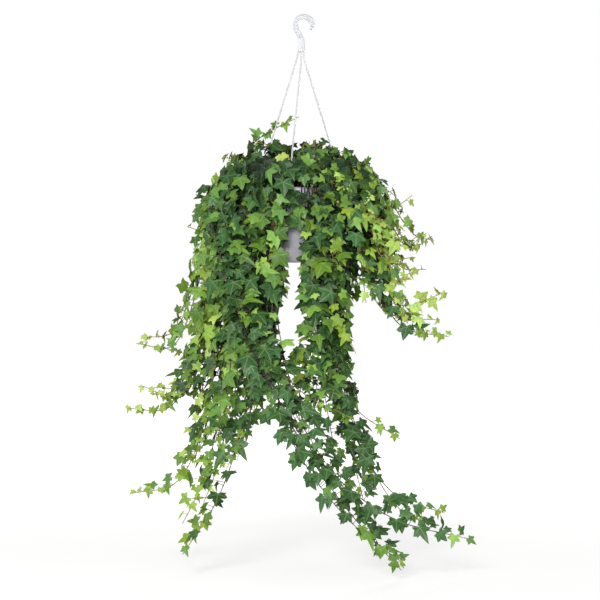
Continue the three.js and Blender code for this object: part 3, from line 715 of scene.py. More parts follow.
def leaf_material(name, old, middle, young, vein, shine, vein_strength):
    """One side of the leaves. Age goes from 0 at a runner's tip to 1, tone differs leaf by leaf, and
    shade is how deep a leaf lies under others, painted into the colour as darkening."""
    nodes = Finish(name)
    tone = nodes.read("tone")
    veins = nodes.add("ShaderNodeGroup", {"Spot": nodes.read("spot", "Vector"), "Width": 0.032},
                      node_tree=once(bpy.data.node_groups, "Leaf veins", veins_group)).outputs
    by_age = nodes.ramp(nodes.read("age"), [(0.0, young[0]), (0.22, young[1]), (0.55, middle), (1.0, old)])
    shifted = nodes.add("ShaderNodeHueSaturation", {
        "Hue": nodes.plus(0.490, nodes.times(tone, 0.032)),
        "Saturation": nodes.plus(1.14, nodes.times(tone, -0.24)),
        "Value": nodes.plus(0.77, nodes.times(tone, 0.98)),
        "Color": by_age,
    }).outputs["Color"]
    blotches = nodes.mask(nodes.noise(nodes.place, 150.0, 4.0, 0.6), 0.35, 0.7)
    mottled = nodes.mix(nodes.times(blotches, 0.7), shifted, (0.5, 0.62, 0.5), "MULTIPLY")
    thin = nodes.mix(nodes.times(veins["Fine"], 0.3 * vein_strength), mottled, vein)
    veined = nodes.mix(nodes.times(veins["Main"], vein_strength), thin, vein)
    # Painted shade: leaves that lie under others are darkened towards a deep green.
    colour = nodes.mix(nodes.times(nodes.read("shade"), 0.9), veined, (0.05, 0.085, 0.06), "MULTIPLY")
    grain = nodes.noise(nodes.place, 650.0, 2.0)
    height = nodes.minus(nodes.times(grain, 0.25), nodes.times(veins["Main"], 0.6))
    height = nodes.minus(height, nodes.times(veins["Fine"], 0.25))
    return nodes.surface(colour, nodes.plus(shine, nodes.times(blotches, 0.16)), 0.5, 0.0007, height,
                         {"Specular IOR Level": 0.28})


def stem_material(name, old, middle, young):
    nodes = Finish(name)
    by_age = nodes.ramp(nodes.read("age"), [(0.0, young), (0.4, middle), (1.0, old)])
    marks = nodes.noise(nodes.place, 420.0, 4.0, 0.7)
    marked = nodes.mix(nodes.mask(marks, 0.4, 0.75), by_age, (0.55, 0.42, 0.34), "MULTIPLY")
    # Painted shade: stems towards their root, and the stalks of shaded leaves, are darkened.
    colour = nodes.mix(nodes.times(nodes.read("shade"), 0.85), marked, (0.12, 0.12, 0.12), "MULTIPLY")
    return nodes.surface(colour, nodes.plus(0.4, nodes.times(marks, 0.3)), 0.5, 0.0006, marks)


# The leaves. A form is half of a leaf's edge for a width of 1, from the middle lobe's tip round to
# the notch at the stalk. Its vein ends are the tips of the lobes.

LEAF_FORMS = {
    "grown": [
        (0, 0.82), (0.115, 0.62), (0.19, 0.46), (0.22, 0.36), (0.36, 0.385), (0.52, 0.30), (0.43, 0.13),
        (0.36, 0.01), (0.395, -0.20), (0.19, -0.19), (0, -0.05),
    ],
    "long": [
        (0, 0.95), (0.09, 0.70), (0.15, 0.49), (0.17, 0.335), (0.32, 0.345), (0.49, 0.24), (0.37, 0.09),
        (0.30, -0.01), (0.34, -0.20), (0.16, -0.17), (0, -0.05),
    ],
    "broad": [
        (0, 0.74), (0.115, 0.56), (0.185, 0.44), (0.21, 0.345), (0.38, 0.395), (0.53, 0.32), (0.44, 0.14),
        (0.36, 0.02), (0.41, -0.19), (0.20, -0.19), (0, -0.06),
    ],
    "young": [
        (0, 0.86), (0.10, 0.62), (0.16, 0.46), (0.18, 0.33), (0.33, 0.34), (0.48, 0.22), (0.36, 0.08),
        (0.30, -0.02), (0.29, -0.17), (0.13, -0.14), (0, -0.03),
    ],
}
VEIN_ENDS = (0, 5, 8)
VEIN_WAYS = ((0.0, 1.0), (0.86, 0.51), (0.87, -0.49))  # across and ahead, for one half of the leaf
LEAF_RING = 0.56  # where the ring between the stalk and the edge runs
LEAF_PUFF = 0.06  # how far the blade stands up between its veins
LEAF_THICK = 0.012  # half the thickness at the stalk, for a width of 1


def leaf_form(name, half):
    """A closed leaf blade of width 1 with its stalk's end at the origin, its face up and its tip along Y."""
    edge = half + [(-x, y) for x, y in half[-2:0:-1]]
    count = len(edge)
    ends = set(VEIN_ENDS) | {count - i for i in VEIN_ENDS if i}
    puff = [0 if i in ends else LEAF_PUFF for i in range(count)]
    rim = [(x, y, 0) for x, y in edge]
    ring = [(x * LEAF_RING, y * LEAF_RING, puff[i] + LEAF_THICK) for i, (x, y) in enumerate(edge)]
    vertices = rim + ring + [(0, 0, LEAF_THICK), (0, 0, -LEAF_THICK)]
    top, bottom = 2 * count, 2 * count + 1
    faces = []
    for i in range(count):
        j = (i + 1) % count
        faces += [[top, count + j, count + i], [count + i, count + j, j, i], [bottom, i, j]]
    mesh = bpy.data.meshes.new(name)
    mesh.from_pydata(vertices, [], faces)
    mesh.polygons.foreach_set("use_smooth", [True] * len(faces))
    store(mesh, "sharp_edge", "BOOLEAN", [max(line.vertices) < count for line in mesh.edges], "EDGE")
    store(mesh, "under", "BOOLEAN", [bottom in face for face in faces], "FACE")
    store(mesh, "blade", "BOOLEAN", [True] * len(faces), "FACE")
    store(mesh, "spot", "FLOAT_VECTOR", vertices)
    return bpy.data.objects.new(name, mesh)


def form_collection(name):
    """The leaf forms, in a collection that the foliage picks them from."""
    collection = bpy.data.collections.new(name)
    for i, (form, half) in enumerate(LEAF_FORMS.items()):
        collection.objects.link(leaf_form(f"{i}_{form}", half))
    return collection


# How the plant grows


def hanging_route(row, index):
    azimuth, sweep, shoulder, reach, depth, flare, dip = row[:7]
    root = OVER_RIM["roots"][index % 2]
    lift = drawn(OVER_RIM["lift"], dice(index, 0, "lift"))
    points = [
        polar(root, azimuth, SOIL_Z - SOIL["depth"]),
        polar(root + 1, azimuth, SOIL_Z + OVER_RIM["rise"]),
        polar(RIM - OVER_RIM["inside"], azimuth, RIM_Z + lift),
        polar(lerp(RIM, shoulder, 0.5), azimuth, RIM_Z + lift * 0.8),
    ]
    start = min(OVER_RIM["shoulder"], depth * 0.5 + 10)
    count = max(3, math.floor(depth / OVER_RIM["step"] + 0.5))
    for i in range(count + 1):
        t = i / count
        fall = lerp(start, depth, t) + dip * math.sin(math.pi * t * t)
        points.append(polar(lerp(shoulder, reach, t**flare), azimuth + sweep * t**1.5, RIM_Z - fall))
    return points


def upright_route(row):
    azimuth, root, sweep, reach, height = row[:5]
    points = [polar(root, azimuth, SOIL_Z - SOIL["depth"])]
    for i in range(4):
        t = i / 3
        rise = lerp(OVER_RIM["rise"], SOIL["below"] + height, math.sin(math.pi / 2 * t**0.8))
        points.append(polar(lerp(root + 1, reach, t**1.5), azimuth + sweep * t, SOIL_Z + rise))
    return points


def spray_route():
    start = polar(SPRAY[0][0], SPRAY[0][1], SOIL_Z - SOIL["depth"])
    return [start] + [polar(r, a, RIM_Z + z) for r, a, z in SPRAY]


def leaves_of(kind, route, full, runner):
    """The leaves of a runner: stalk's foot and direction, blade's base, face and tip, width and growth."""
    found = []
    length = route.length
    span = min(GROWTH["length"], GROWTH["share"] * length)
    s = FIRST_LEAF[kind]
    k = 0

    def draw(use):
        return drawn(HABIT[use], dice(runner, k, use))

    while s < length - LAST_LEAF:
        grown = min(1, GROWTH["tip"] + (1 - GROWTH["tip"]) * (length - s) / span)
        width = full * grown * draw("size")
        foot, along = route.point(s), route.heading(s)
        out = np.array([foot[0] - POT_X, foot[1], 0.0])
        reach = np.linalg.norm(out)
        beyond = clamp((reach - LIGHT["from"]) / LIGHT["over"], 0, 1)
        out = out / reach
        sun = unit(out * lerp(LIGHT["inner"], LIGHT["outer"], beyond) + UP * LIGHT["up"])
        side = unit(np.cross(along, sun)) * (1 if k % 2 else -1)

        petiole = unit(side * HABIT["aside"] + sun * draw("raise") + along * draw("ahead"))
        lean = petiole.dot(along)
        petiole = unit(petiole + along * (clamp(lean, *HABIT["lean"]) - lean))
        base = foot + petiole * width * draw("length")

        face = unit(sun + side * draw("turn") + along * draw("pitch"))
        tip = petiole * HABIT["follow"] - UP * HABIT["fall"] + side * draw("swing")
        tip = tip + out * HABIT["outward"]
        tip = unit(tip - face * tip.dot(face))
        level = unit(petiole - face * petiole.dot(face))
        turn = tip.dot(level)
        if turn < HABIT["in_line"]:
            tip = unit(tip - level * turn) * math.sqrt(1 - HABIT["in_line"] ** 2) + level * HABIT["in_line"]
        found.append({"foot": foot, "petiole": petiole, "base": base, "face": face, "tip": tip,
                      "width": width, "s": s, "grown": grown, "runner": runner, "k": k})
        s += drawn(HABIT["space"], grown) * draw("spread")
        k += 1
    return found


def spun(v, axis, degrees):
    """A vector turned about an axis."""
    a = math.radians(degrees)
    return v * math.cos(a) + np.cross(axis, v) * math.sin(a) + axis * axis.dot(v) * (1 - math.cos(a))


def loosened(leaf, look):
    """The leaf with its blade turned and tilted at random, and as large as its place makes it."""
    uses = ("blade_turn", "blade_nod", "blade_roll")
    turn, nod, roll = [2 * dice(leaf["runner"], leaf["k"], use) - 1 for use in uses]
    x, y, z = leaf["base"]
    start, over = LOOSE["side"]
    aside = clamp((abs(x - POT_X) - start) / over, 0, 1) * clamp(1 - y / LOOSE["behind"], 0, 1)
    out = np.array([x - POT_X, y, 0.0]) / max(LOOSE["axis"], math.hypot(x - POT_X, y))
    high = smoothstep(z, *LOOSE["high"])
    face = unit(leaf["face"] + FRONT * LOOSE["to_front"] * aside + out * LOOSE["outward"] * high)
    tip = unit(leaf["tip"] - face * face.dot(leaf["tip"]))
    tip = spun(tip, face, LOOSE["turn"] * turn)
    face = spun(face, tip, LOOSE["tilt"] * roll)
    across = np.cross(face, tip)
    face, tip = [spun(way, across, LOOSE["tilt"] * nod) for way in (face, tip)]
    width = leaf["width"] * (1 + LOOSE["tip_size"][look] * (1 - leaf["grown"]))
    width *= 1 - LOOSE["low"] * smoothstep(-z, *LOOSE["low_from"])
    if look in ("hanging", "outer"):
        width *= 1 - LOOSE["crown_small"] * (1 - smoothstep(leaf["s"], *COVERED["crown_end"]))
    base = lerp(leaf["foot"], leaf["base"], LOOSE["spray_stalk"] if look == "spray" else 1)
    return leaf | {"face": face, "tip": tip, "width": width, "base": base}


def side_runner(row, index, j):
    """A runner beside a hanging one: a little off its line, mostly shorter, and with smaller leaves.
    Beside a long runner that reaches far out it is nearly as long."""
    azimuth, sweep, shoulder, reach, depth, flare, dip, width = row
    draw = [dice(SEEDS["side_runner"] + index, j, use) for use in range(5)]
    away = drawn(SIDE_RUNNER["away"], draw[0]) * (-1 if j % 2 else 1)
    shift = drawn(SIDE_RUNNER["shift"], draw[1])
    share = drawn(SIDE_RUNNER["share"], draw[2])
    if j == 0 and reach - shoulder > FAR["spread"] and abs(sweep) < FAR["sweep"] and depth > FAR["depth"]:
        share = drawn(FAR["share"], draw[2])
        away *= FAR["away"]
    tip = lerp(shoulder, reach, share**flare) + shift * 0.5
    drop = depth * share * drawn(SIDE_RUNNER["drop"], draw[4])
    width *= drawn(SIDE_RUNNER["width"], draw[3])
    return (azimuth + away, sweep * share, shoulder + shift, tip, drop, flare, dip * share, width)


def side_shoot(row, index, j):
    """A shoot beside one of the crown: off its line, and mostly shorter."""
    azimuth, root, sweep, reach, height, width = row
    draw = [dice(SEEDS["side_shoot"] + index, j, use) for use in range(6)]
    return (azimuth + (draw[0] - 0.5) * SIDE_SHOOT["azimuth"], root * drawn(SIDE_SHOOT["root"], draw[1]),
            sweep + SIDE_SHOOT["sweep"] * (draw[2] - 0.5), reach * drawn(SIDE_SHOOT["reach"], draw[3]),
            height * drawn(SIDE_SHOOT["size"], draw[4]), width * drawn(SIDE_SHOOT["size"], draw[5]))


def grow(kind, row, index, seed, look=None):
    """A runner: its route, its leaves and how old they look."""
    if kind == "hanging":
        route = Route(hanging_route(row, index))
    elif kind == "shoot":
        route = Route(upright_route(row))
    else:
        route = Route(spray_route())
    width = (row[-1] if row else SPRAY_WIDTH) * LEAF_WIDTHS[kind]
    leaves = []
    for more, share in zip((0, SMALLER), GROWTH["sets"]):
        leaves += leaves_of(kind, route, width * share, seed + more)
    look = look or kind
    least = 0 if kind == "shoot" else SMALL_FROM
    leaves = [loosened(leaf, look) for leaf in leaves if leaf["runner"] < SMALLER or leaf["grown"] > least]
    return {"kind": kind, "route": route, "leaves": leaves, "seed": seed, "older": OLDER[look]}


def hits_pot(point, margin):
    """True inside the pot or the saucer, or nearer to them than a margin, but not over the soil."""
    radius = math.hypot(point[0] - POT_X, point[1])
    z = point[2] - RIM_Z
    if z > margin or z < -SAUCER_DEPTH - margin:
        return False
    wall = lerp(POT["top"], POT["bottom"], clamp(-z / POT_HEIGHT, 0, 1))
    if z > -POT["rim_drop"]:
        wall = RIM
    if z < SAUCER_HEIGHT - SAUCER_DEPTH:
        wall = SAUCER["top"] + SAUCER["lip"]
    mouth = RIM * POT["mouth"] if z > -SOIL["below"] else -1
    return mouth < radius < wall + margin


def hits_leg(leaf):
    for azimuth, x, split in LEGS:
        start, end = np.array([x, 0.0, split]), polar(LEG["circle"], azimuth, RIM_Z + LEG["feet"][0])
        line = end - start
        for share in CLEARANCE["leg"]:
            point = leaf["base"] + leaf["tip"] * leaf["width"] * share
            t = clamp((point - start).dot(line) / line.dot(line), 0, 1)
            blade = CLEARANCE["leg_share"] * leaf["width"] * (CLEARANCE["leg_reach"] - share)
            if np.linalg.norm(point - start - line * t) < LEG["radius"] + blade:
                return True
    return False


def opens(x, y, z, margin, windows):
    """True in one of the openings in the foliage. Those under the pot go through to the back."""
    eye_x, eye_y, eye_z = [c / MM for c in CAMERA["place"]]
    nearer = eye_y / (eye_y - y)
    x, z = eye_x + (x - eye_x) * nearer, eye_z + (z - eye_z) * nearer
    for left, right, bottom, top in windows:
        through = bottom < RIM_Z - SAUCER_DEPTH
        if (y < 0 or through) and left - margin < x < right + margin and bottom - margin < z < top + margin:
            return True
    return False


def crosses_window(runner):
    """True where a stem would hang down through an opening."""
    route = runner["route"]
    windows = [WINDOWS[i] for i in CLEAR]
    places = np.arange(CLEARANCE["stem_from"], route.length, CLEARANCE["stem_step"])
    return any(opens(*route.point(s), CLEARANCE["stem"], windows) for s in places)


def middle_of(leaf):
    return leaf["base"] + CLEARANCE["middle"] * leaf["width"] * leaf["tip"]


def leaf_fits(leaf):
    """False where a blade would close an opening, or cut the pot, the saucer or a leg of the hanger."""
    if opens(*middle_of(leaf), CLEARANCE["window"] * leaf["width"], WINDOWS):
        return False
    across = np.cross(leaf["face"], leaf["tip"]) * leaf["width"] / 2
    ahead = leaf["tip"] * leaf["width"]
    middle = leaf["base"] + CLEARANCE["middle"] * ahead
    spots = [leaf["base"], leaf["base"] + CLEARANCE["end"] * ahead, middle + across, middle - across]
    return not any(hits_pot(spot, CLEARANCE["pot"]) for spot in spots) and not hits_leg(leaf)


def shades(leaves):
    """How deep each leaf lies under others, from 0 out in the light to 1, for the painted shade of its
    colour.
    """
    centres = np.array([middle_of(leaf) for leaf in leaves])
    found = []
    for centre in centres:
        x, y, z = centre
        outwards = unit(np.array([x - POT_X, y, max(0, z - RIM_Z + COVERED["dome"])]))
        away = centres - centre
        over = away @ outwards
        aside = np.linalg.norm(away - np.outer(over, outwards), axis=1)
        covering = (over > COVERED["over"][0]) & (over < COVERED["over"][1]) & (aside < COVERED["aside"])
        open_air = smoothstep(math.hypot(x - POT_X, y), *COVERED["open"])
        found.append(min(1.0, covering.sum() / COVERED["leaves"]) * (1 - COVERED["fade"] * open_air))
    return found


def crown_shade(leaf, runner):
    """More painted shade near the crown, drawn at random, but not on pale leaves and those at the plant's
    sides.
    """
    near = 1 if runner["kind"] == "shoot" else 1 - smoothstep(leaf["s"], *COVERED["crown_end"])
    draw = dice(runner["seed"], leaf["k"], "crown_shade")
    return near * (COVERED["crown"] * draw * (runner["older"] > OLDER["pale"]))


def leaf_age(leaf, runner, shade):
    """How old a leaf looks, from 0 at a tip to 1."""
    share = ((leaf["grown"] - GROWTH["tip"]) / (1 - GROWTH["tip"])) ** AGE["growth"]
    older = runner["older"] + (OLDER["small"] if leaf["runner"] >= SMALLER else 0) + COVERED["older"] * shade
    older += LOOSE["low_older"] * smoothstep(-leaf["base"][2], *LOOSE["low_from"])
    own = AGE["spread"] * (dice(runner["seed"], leaf["k"], "age") - AGE["middle"])
    return clamp(share + older + own - AGE["runner"] * dice(runner["seed"], 0, "runner_age"), 0, 1)


NO_LEAF = {"runner": 0, "k": 0, "width": 0.0, "face": UP, "tip": UP}
POINT_KINDS = {"face": "FLOAT_VECTOR", "heading": "FLOAT_VECTOR", "form": "INT", "is_leaf": "BOOLEAN"}


def foliage_mesh(name, runners, sizes):
    """The plant's growth points and lines: a point for each leaf, and lines for the stems and stalks."""
    points, edges, values = [], [], []

    def put(point, girth, age, tone, shade, leaf=NO_LEAF, form=0):
        points.append(tuple(point * MM))
        values.append({
            "girth": girth * MM, "age": age, "tone": tone, "shade": shade, "form": form,
            "is_leaf": leaf is not NO_LEAF, "face": leaf["face"], "heading": leaf["tip"],
            "width": leaf["width"] * MM * sizes.leaf_scale,
            **{bend: drawn(pair, dice(leaf["runner"], leaf["k"], bend)) for bend, pair in BENDS.items()},
        })

    def line(route_points, girths, ages, tone, shade):
        start = len(points)
        for point, girth, age in zip(route_points, girths, ages):
            put(point, girth, age, tone, shade * age)
        edges.extend((start + i, start + i + 1) for i in range(len(route_points) - 1))

    for runner in runners:
        runner["leaves"] = [leaf for leaf in runner["leaves"] if leaf_fits(leaf)]
    depth = iter(shades([leaf for runner in runners for leaf in runner["leaves"]]))
    for runner in runners:
        route, length, seed = runner["route"], runner["route"].length, runner["seed"]
        nodes = {leaf["s"] for leaf in runner["leaves"]}
        places = sorted({*np.arange(0, length, sizes.stem_step / MM), *nodes, length})
        thick = sizes.stem_root / MM * (1.0 if seed < SEEDS["beside"] else STEM["thin"])
        girths = [lerp(thick, sizes.stem_tip / MM, (s / length) ** STEM["taper"]) for s in places]
        girths = [girth * STEM["node"] if s in nodes else girth for s, girth in zip(places, girths)]
        ages = [clamp((length - s) / AGE["old_stem"], 0, 1) for s in places]
        line([route.point(s) for s in places], girths, ages, dice(seed, 0, "stem_tone"), COVERED["stem"])
        for leaf in runner["leaves"]:
            k = leaf["k"]
            shade = min(1, next(depth) + crown_shade(leaf, runner))
            age = leaf_age(leaf, runner, shade)
            sag = leaf["face"] * leaf["width"] * STALK["sag"]
            stalk = [lerp(leaf["foot"], leaf["base"], w) + sag * math.sin(math.pi * w) for w in (0, 0.5, 1)]
            size = sizes.stalk / MM * drawn(STALK["size"], leaf["grown"])
            girths = [size * share for share in STALK["girths"]]
            line(stalk, girths, [drawn(STALK["age"], age)] * 3, dice(seed, k, "stalk_tone"), shade)
            form = int(dice(seed, k, "form") * 3) if leaf["grown"] >= GROWTH["lobed"] else 3
            tone = lerp(dice(seed, k, "tone"), dice(seed, 0, "runner_tone"), AGE["shared_tone"])
            put(leaf["base"], 0.0, age, tone, shade, leaf, form)

    mesh = bpy.data.meshes.new(name)
    mesh.from_pydata(points, edges, [])
    for key in values[0]:
        store(mesh, key, POINT_KINDS.get(key, "FLOAT"), [each[key] for each in values])
    return mesh


def growth_tree(name):
    """Geometry nodes that set a leaf on each leaf point and turn the lines into stems and stalks."""
    tree, nodes, given = new_tree(name, "Geometry", [
        ("Growth", "Geometry"), ("Leaf forms", "Collection"), ("Stem sides", "Int"), ("Leaf top", "Material"),
        ("Leaf underside", "Material"), ("Stem", "Material"),
    ], [("Foliage", "Geometry")])
    face = nodes.carried("face", "FLOAT_VECTOR")
    axes = {"Primary Axis": face, "Secondary Axis": nodes.carried("heading", "FLOAT_VECTOR")}
    facing = nodes.add("FunctionNodeAxesToRotation", axes, primary_axis="Z", secondary_axis="Y")
    leaves = nodes.laid(given["Growth"], given["Leaf forms"], {
        "Selection": nodes.carried("is_leaf", "BOOLEAN"), "Instance Index": nodes.carried("form", "INT"),
        "Rotation": facing.outputs["Rotation"], "Scale": nodes.carried("width"),
    })
    curves = nodes.add("GeometryNodeMeshToCurve", {"Mesh": given["Growth"]}).outputs["Curve"]
    ring = nodes.add("GeometryNodeCurvePrimitiveCircle", {"Resolution": given["Stem sides"], "Radius": 1.0})
    stalks = nodes.add("GeometryNodeCurveToMesh", {"Curve": curves, "Profile Curve": ring.outputs["Curve"],
                                                   "Scale": nodes.carried("girth"), "Fill Caps": True})
    both = nodes.add("GeometryNodeJoinGeometry")
    for part in (leaves, stalks.outputs["Mesh"]):
        nodes.tree.links.new(part, both.inputs[0])
    real = nodes.real(both.outputs[0])

    x, y, _ = nodes.split(nodes.carried("spot", "FLOAT_VECTOR"))
    droop = nodes.times(nodes.plus(nodes.times(x, x), nodes.times(y, y)), nodes.carried("droop"))
    fold = nodes.times(nodes.math("ABSOLUTE", x), nodes.carried("fold"))
    twist = nodes.times(nodes.times(x, y), nodes.carried("curl"))
    reach = nodes.times(nodes.minus(nodes.plus(fold, twist), droop), nodes.carried("width"))
    offset = nodes.add("ShaderNodeVectorMath", {0: face, "Scale": reach}, operation="SCALE").outputs["Vector"]
    bent = nodes.add("GeometryNodeSetPosition", {"Geometry": real, "Offset": offset}).outputs["Geometry"]
    dressed = nodes.dressed(bent, given["Stem"])
    dressed = nodes.dressed(dressed, given["Leaf top"], nodes.carried("blade", "BOOLEAN"))
    dressed = nodes.dressed(dressed, given["Leaf underside"], nodes.carried("under", "BOOLEAN"))
    nodes.add("NodeGroupOutput", {0: dressed})
    return tree


def made_by_nodes(name, mesh, tree, inputs):
    """A plain mesh object from a mesh and a geometry node tree."""
    source = new_object(name, mesh)
    modifier = source.modifiers.new("Growth", "NODES")
    modifier.node_group = tree
    for item in tree.interface.items_tree:
        if item.in_out == "INPUT" and item.name in inputs:
            modifier[item.identifier] = inputs[item.name]
    bpy.context.view_layer.update()
    evaluated = source.evaluated_get(bpy.context.evaluated_depsgraph_get())
    result = bpy.data.meshes.new_from_object(evaluated)
    source.modifiers.remove(modifier)
    source.data = result
    return source


def bare(piece, keep):
    """Attributes that the materials don't read are removed."""
    for attribute in list(piece.data.attributes):
        if not attribute.is_internal and not attribute.is_required and attribute.name not in keep:
            piece.data.attributes.remove(attribute)


def foliage_finishes(colours):
    """The materials of the foliage, by the names of the growth tree's inputs."""
    def finish(name, make, *values):
        return once(bpy.data.materials, name, make, *values)

    young = (colours.leaf_newest, colours.leaf_young)
    top = (colours.leaf_old, colours.leaf_middle, young, (0.24, 0.40, 0.16), 0.32, 0.5)
    underside = (colours.under_old, colours.under_middle, young, (0.30, 0.40, 0.10), 0.55, 0.4)
    return {
        "Leaf top": finish("ivy_leaf_top", leaf_material, *top),
        "Leaf underside": finish("ivy_leaf_underside", leaf_material, *underside),
        "Stem": finish("ivy_stem", stem_material, colours.stem_old, colours.stem_middle, colours.stem_young),
    }


def foliage_piece(name, runners, nodes, settings):
    mesh = foliage_mesh(name, runners, settings.sizes)
    tree = once(bpy.data.node_groups, "Ivy growth", growth_tree)
    forms = once(bpy.data.collections, "leaf_forms", form_collection)
    inputs = {"Leaf forms": forms, "Stem sides": settings.sizes.stem_sides}
    piece = made_by_nodes(name, mesh, tree, inputs | foliage_finishes(settings.colours))
    bare(piece, {"age", "tone", "shade", "spot", "sharp_edge", "sharp_face", "material_index"})
    finished(piece, [], nodes)


# Settings that a user would change


def colour_setting(name, description, default):
    return bpy.props.FloatVectorProperty(name=name, description=description, default=default, size=3,
                                         min=0.0, max=1.0, subtype="COLOR")


def length_setting(name, description, default):
    return bpy.props.FloatProperty(name=name, description=description, default=default, min=0.0, precision=5,
                                   unit="LENGTH", subtype="DISTANCE")


def glow_setting(name, description, default):
    return bpy.props.FloatProperty(name=name, description=description, default=default, min=0.0)


def light_setting(name, default):
    return bpy.props.FloatProperty(name=f"{name} light", description=f"Power of the {name.lower()} light",
                                   default=default, min=0.0, unit="POWER")


class IvySizes(bpy.types.PropertyGroup):
    """Sizes of the plant."""

    leaf_scale: bpy.props.FloatProperty(name="Leaf scale", description="Size of the leaves", default=1.0,
                                        min=0.5, max=1.5, subtype="FACTOR")
    stem_root: length_setting("Stem at the root", "Radius of a runner where it leaves the soil", 0.0017)
    stem_tip: length_setting("Stem at the tip", "Radius of a runner at its tip", 0.00075)
    stalk: length_setting("Leaf stalk", "Radius of a grown leaf's stalk", 0.0006)
    stem_step: length_setting("Stem step", "Distance between a stem's rings", 0.009)
    stem_sides: bpy.props.IntProperty(name="Stem sides", description="Sides of a stem", default=5, min=3,
                                      max=16)


class IvyColours(bpy.types.PropertyGroup):
    """Colours of the plant, the pot and the hanger."""

    leaf_old: colour_setting("Grown leaf", "Upper side of a grown leaf", (0.044, 0.103, 0.030))
    leaf_middle: colour_setting("Half-grown leaf", "Upper side of a growing leaf", (0.162, 0.284, 0.046))
    leaf_young: colour_setting("Young leaf", "Upper side of a young leaf", (0.32, 0.46, 0.074))
    leaf_newest: colour_setting("Newest leaf", "Upper side of the leaf at a tip", (0.46, 0.56, 0.13))
    under_old: colour_setting("Grown underside", "Underside of a grown leaf", (0.105, 0.23, 0.04))
    under_middle: colour_setting("Half-grown underside", "Underside of a growing leaf", (0.19, 0.37, 0.05))
    stem_old: colour_setting("Old stem", "Bark near the root", (0.070, 0.045, 0.032))
    stem_middle: colour_setting("Stem", "Bark half way", (0.20, 0.11, 0.065))
    stem_young: colour_setting("Young stem", "Stem at the tip", (0.40, 0.34, 0.10))
    hanger: colour_setting("Hanger", "White plastic of the hanger", (0.64, 0.65, 0.68))
    pot: colour_setting("Pot", "Pale plastic of the pot and the saucer", (0.80, 0.79, 0.87))
    stain: colour_setting("Stain", "Dried water and soil on the plastic", (0.36, 0.32, 0.27))


class IvyStage(bpy.types.PropertyGroup):
    """The floor and the light."""

    floor: colour_setting("Floor", "Colour of the floor", (0.5, 0.5, 0.5))
    floor_z: length_setting("Floor depth", "How far the floor lies below the hook", 1.086)
    near_glow: glow_setting("Floor glow", "Light that the floor gives by itself", 0.585)
    far_glow: glow_setting("Far floor glow", "The same at the floor's far edge", 1.10)
    sky: glow_setting("Sky", "Light from all round", 0.22)
    key: light_setting("Key", 48.0)
    front: light_setting("Front", 46.0)
    fill: light_setting("Fill", 16.0)
    back: light_setting("Back", 56.0)
    top: light_setting("Top", 2.0)


class IvySettings(bpy.types.PropertyGroup):
    """All settings."""

    sizes: bpy.props.PointerProperty(type=IvySizes)
    colours: bpy.props.PointerProperty(type=IvyColours)
    stage: bpy.props.PointerProperty(type=IvyStage)


# The hanger


def hook_line(count):
    """Points of the hook's centre line in its own upright plane, evenly spaced from the tip to the stem."""
    radius, stem_x, stem_top = HOOK["radius"], HOOK["stem_x"], HOOK["stem_top"]
    arc_steps, bend_steps, stem_steps = 121, 41, 11
    arc = np.radians(np.linspace(*HOOK["arc"], arc_steps))
    dense = [(radius * math.cos(a), HOOK["half"] - radius + radius * math.sin(a)) for a in arc]
    corners = [np.array(p, float) for p in (dense[-1], *HOOK["bend"], (stem_x, stem_top))]
    for t in np.linspace(0, 1, bend_steps)[1:]:
        weights = ((1 - t) ** 3, 3 * t * (1 - t) ** 2, 3 * t * t * (1 - t), t**3)
        dense.append(sum(weight * corner for weight, corner in zip(weights, corners)))
    dense += [(stem_x, z) for z in np.linspace(stem_top, HOOK["stem_end"], stem_steps)[1:]]
    dense = np.array(dense)
    lengths = np.concatenate([[0], np.cumsum(np.linalg.norm(np.diff(dense, axis=0), axis=1))])
    wanted = np.linspace(0, lengths[-1], count)
    return np.column_stack([np.interp(wanted, lengths, dense[:, 0]), np.interp(wanted, lengths, dense[:, 1])])


def hook_section(half, pocket, shrink):
    """The hook's section: across and depth, with a border along each edge and a rib in the middle."""
    face = HOOK["depth"] / 2
    floor = face - pocket
    border = min(HOOK["border"], half * 0.4)
    rib = min(floor + HOOK["rib"], face)
    right = [(half, face - 1.1), (half - 0.35, face - 0.35), (half - 1.0, face), (half - border, face - 0.05),
             (half - border - 0.3, floor), (0.95, floor), (0.55, rib)]
    side = right + [(-a, d) for a, d in reversed(right)]
    loop = side + [(a, -d) for a, d in reversed(side)]
    return [(a * shrink, d * shrink) for a, d in loop]


def hook_part():
    count = 96
    line = hook_line(count)
    shrinks = HOOK_ENDS["tip"] + [1] * (count - 5) + HOOK_ENDS["stem"]
    sections = []
    for i, shrink in enumerate(shrinks):
        u = i / (count - 1)
        along = unit(line[min(i + 1, count - 1)] - line[max(i - 1, 0)])
        across = np.array([-along[1], along[0]])
        change = {name: smoothstep(u, *span) for name, span in HOOK_CHANGES.items()}
        body = lerp(HOOK["tip_half"], HOOK["half"], change["tip"])
        half = lerp(body, HOOK["stem_half"], change["stem"])
        pocket = HOOK["pocket"] * change["pocket_start"] * (1 - change["pocket_end"])
        sections.append([(line[i][0] + across[0] * a, -d, line[i][1] + across[1] * a)
                         for a, d in hook_section(half, pocket, shrink)])
    return rings(sections)


def leg_parts(azimuth, x, split):
    """A leg from the stem to the rim, and the knob that holds it under the rim's flange."""
    def foot(z):
        return polar(LEG["circle"], azimuth, RIM_Z + z)
    feet = [foot(z) for z in LEG["feet"]]
    stem_end, top = np.array([x, 0.0, split]), np.array([x, 0.0, split + LEG["root"]])
    away = lerp(stem_end, feet[0], LEG["away"]) - UP * LEG["dip"]
    points = rounded([top, stem_end, away, *feet], LEG["corner"], closed=False)
    leg = rod(points, [LEG["radius"]] * len(points), 12)
    return [leg, rod([foot(z) for _, z in KNOB], [r for r, _ in KNOB], 20)]


